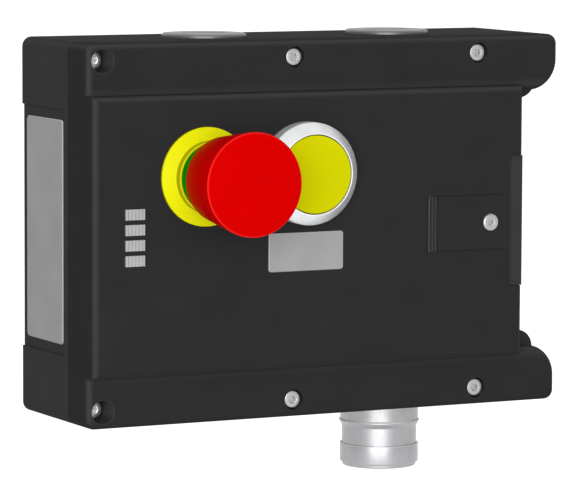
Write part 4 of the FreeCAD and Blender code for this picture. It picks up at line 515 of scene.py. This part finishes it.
def plug_snap_ring():
    """The snap ring: a crest with two fine steps on the slope below it."""
    centre, crest, back, front = turned("connector_ring", down=True)
    bore, start, end = 10.95, 12.3, 11.75
    steps = [(12.28, 1.4), (12.18, 1.48), (12.14, 1.66), (12.04, 1.74)]
    outline = [
        (bore, back, 0), (start, back, 0.1), (crest, back + 0.6, 0.25),
        *((radius, back + height, 0) for radius, height in steps), (end, front, 0), (bore, front, 0),
    ]
    return lathe(outline, centre, down=True)


def plug_cuff():
    """The cuff round the connector's nose."""
    centre, radius, back, front = turned("connector_cuff", down=True)
    bore = 11.63
    outline = [(bore, back, 0), (radius, back, 0.25), (radius, front, 0.45), (bore, front, 0)]
    return lathe(outline, centre, down=True)


def screws(node, places, head, height, drive, depth):
    """Pan heads with six-lobe recesses in one mesh; places are (x, z, height of the seat)."""
    tip = -box(node)[1][1]
    lip, lobe = drive + 0.35, drive * 0.14
    whole = bmesh.new()
    for x, z, seat in places:
        shoulder, brow, top = seat + height * 0.75, seat + height * 0.96, seat + height
        outline = [
            (0, tip, 0), (THREAD - POINT, tip, 0), (THREAD, tip + POINT, 0), (THREAD, seat, 0),
            (head, seat, 0.1), (head, shoulder, 0.3), (head * 0.86, brow, 0.3), (lip, top, 0.1),
            (drive, top - 0.1, 0, lobe), (drive, top - depth, 0, lobe), (0, top - depth, 0),
        ]
        part = lathe(outline, (x, z))
        mesh = bpy.data.meshes.new("part")
        part.to_mesh(mesh)
        part.free()
        whole.from_mesh(mesh)
        bpy.data.meshes.remove(mesh)
    return whole


def lid_screws():
    """The cover's six screws."""
    columns = zip(SCREW_COLUMNS, SEAT_HEIGHTS)
    places = [(x, z, seat) for x, seat in columns for z in (SCREW_ROW, -SCREW_ROW)]
    return screws("cover_screws", places, SCREW_HEAD, height=2.2, drive=1.1, depth=1.0)


def hatch_screw():
    """The release flap's screw."""
    centre, head = turned("flap_screw")[:2]
    return screws("flap_screw", [(*centre, PANEL)], head, height=1.6, drive=0.9, depth=0.8)


def plate(node, thin, corner, bevel=0.2, steps=5):
    """A plate, thin along one axis, with rounded corners and a bevelled front edge."""
    low, high = box(node)
    flat = [axis for axis in range(3) if axis != thin]
    back, front = high[thin], low[thin]
    form = bmesh.new()
    rings = []
    for depth, inset in ((back, 0), (front + bevel, 0), (front, bevel)):
        ring = []
        for turn, signs in enumerate(((1, 1), (-1, 1), (-1, -1), (1, -1))):
            for step in range(steps + 1):
                angle = math.pi / 2 * (turn + step / steps)
                spot = [0.0, 0.0, 0.0]
                spot[thin] = depth
                for axis, sign, swing in zip(flat, signs, (math.cos(angle), math.sin(angle))):
                    edge = high[axis] if sign > 0 else low[axis]
                    spot[axis] = edge - sign * corner + (corner - inset) * swing
                ring.append(form.verts.new(Vector(spot) * MM))
        rings.append(ring)
    for ring, other in zip(rings, rings[1:]):
        for step in range(len(ring)):
            after = (step + 1) % len(ring)
            form.faces.new([ring[step], ring[after], other[after], other[step]])
    form.faces.new(rings[0])
    form.faces.new(rings[-1])
    return form


def show(name, form, slot, body, *nodes, sharp=40):
    """Makes a visible piece: its finish, its body and the CAD nodes that it stands for."""
    bmesh.ops.recalc_face_normals(form, faces=form.faces)
    mesh = bpy.data.meshes.new(name)
    form.to_mesh(mesh)
    form.free()
    mesh.shade_smooth()
    mesh.set_sharp_from_angle(angle=math.radians(sharp))
    piece = bpy.data.objects.new(name, mesh)
    bpy.context.scene.collection.objects.link(piece)
    paint(piece, FINISHES[slot])
    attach(piece, body)
    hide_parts(*nodes)


show("stop_head", stop_head(), "estop_red", "estop_head", "estop_head")
show("stop_collar", stop_collar(), "estop_yellow", "housing", "estop_collar")
show("stop_ring", stop_ring(), "ring_green", "housing", "estop_indicator_ring")
show("lamp_bezel", lamp_bezel(), "bezel_silver", "housing", "button_bezel")
show("lamp_lens", lamp_lens(), "lens_yellow", "button", "button_lens")
show("plug_shell", plug_shell(), "nickel", "housing", "connector_body")
show("plug_snap_ring", plug_snap_ring(), "nickel", "housing", "connector_ring")
show("plug_cuff", plug_cuff(), "nickel", "housing", "connector_cuff")
show("lid_screws", lid_screws(), "steel", "housing", "cover_screws", sharp=50)
show("hatch_screw", hatch_screw(), "steel", "flap", "flap_screw", sharp=50)
show("side_plate", plate("nameplate", thin=0, corner=1.5), "plate_grey", "housing", "nameplate")
show("front_plate", plate("label_plate", thin=1, corner=0.9), "plate_grey", "housing", "label_plate")


# Floor, light and camera

WHITE = (1, 1, 1, 1)
AMBIENT = 0.39
FLOOR_HEIGHT = -240
FLOOR_HALF = 12000
FLOOR_TONE = (0.8, 0.8, 0.8, 1)
FLOOR_ROUGHNESS = 0.9
FLOOR_GLOW = 0.85

# Soft light: its place and size, and its power in watts
KEY_PLACE = (-950, -1800, 240)
KEY_WIDTH, KEY_HEIGHT = 1800, 1100
KEY_POWER = 33

# Camera: its place, its angles in degrees, and its focal length in pixels of the photograph
CAMERA_PLACE = (-568.48, -1127.0, 117.32)
YAW, PITCH, ROLL = 27.195712, 5.67475, 0.237787
FOCAL_LENGTH = 4023.56
PHOTO_WIDTH = 576
SENSOR = 36
FARTHEST = 50000


def seen_directly(tree, strength):
    """A strength for what the camera, gloss and glass see of the background."""
    rays = tree.nodes.new("ShaderNodeLightPath").outputs
    most = calc(tree, "MAXIMUM", rays["Is Camera Ray"], rays["Is Glossy Ray"])
    most = calc(tree, "MAXIMUM", most, rays["Is Transmission Ray"])
    return calc(tree, "MULTIPLY", most, strength)


def stage():
    """A plain pale floor well below the module."""
    mesh = bpy.data.meshes.new("floor")
    form = bmesh.new()
    bmesh.ops.create_grid(form, x_segments=2, y_segments=2, size=FLOOR_HALF * MM)
    form.to_mesh(mesh)
    form.free()
    floor = bpy.data.objects.new("floor", mesh)
    floor.location = (0, 0, FLOOR_HEIGHT * MM)
    bpy.context.scene.collection.objects.link(floor)
    material = bpy.data.materials.new("floor")
    material.use_nodes = True
    tree = material.node_tree
    fill(tree, tree.nodes["Principled BSDF"], {
        "Base Color": FLOOR_TONE, "Roughness": FLOOR_ROUGHNESS, "Specular IOR Level": 0.0,
        "Emission Color": WHITE, "Emission Strength": seen_directly(tree, FLOOR_GLOW),
    })
    mesh.materials.append(material)


def surroundings():
    """White surroundings, soft on the object and full white where they are seen."""
    world = bpy.data.worlds.new("studio")
    bpy.context.scene.world = world
    world.use_nodes = True
    tree = world.node_tree
    strength = calc(tree, "ADD", seen_directly(tree, 1 - AMBIENT), AMBIENT)
    fill(tree, tree.nodes["Background"], {"Color": WHITE, "Strength": strength})


def softbox():
    """A soft light behind the camera that points at the middle of the module's rear face."""
    data = bpy.data.lights.new("key", "AREA")
    data.energy = KEY_POWER
    data.shape = "RECTANGLE"
    data.size = KEY_WIDTH * MM
    data.size_y = KEY_HEIGHT * MM
    light = bpy.data.objects.new("key", data)
    light.location = Vector(KEY_PLACE) * MM
    light.rotation_mode = "QUATERNION"
    light.rotation_quaternion = (-light.location).to_track_quat("-Z", "Y")
    bpy.context.scene.collection.objects.link(light)


def camera():
    """The camera at the photograph's viewing angle."""
    yaw, pitch, roll = (math.radians(angle) for angle in (YAW, PITCH, ROLL))
    look = Vector((math.sin(yaw) * math.cos(pitch), math.cos(yaw) * math.cos(pitch), -math.sin(pitch)))
    right = Vector((math.cos(yaw), -math.sin(yaw), 0))
    up = right.cross(look)
    tilted_right = right * math.cos(roll) + up * math.sin(roll)
    tilted_up = up * math.cos(roll) - right * math.sin(roll)
    data = bpy.data.cameras.new("camera")
    data.sensor_width = SENSOR
    data.lens = FOCAL_LENGTH * SENSOR / PHOTO_WIDTH
    data.clip_end = FARTHEST * MM
    holder = bpy.data.objects.new("camera", data)
    turn = Matrix((tilted_right, tilted_up, -look)).transposed().to_4x4()
    holder.matrix_world = Matrix.Translation(Vector(CAMERA_PLACE) * MM) @ turn
    bpy.context.scene.collection.objects.link(holder)
    bpy.context.scene.camera = holder


camera()
stage()
surroundings()
softbox()
bpy.context.scene.view_settings.view_transform = "Standard"
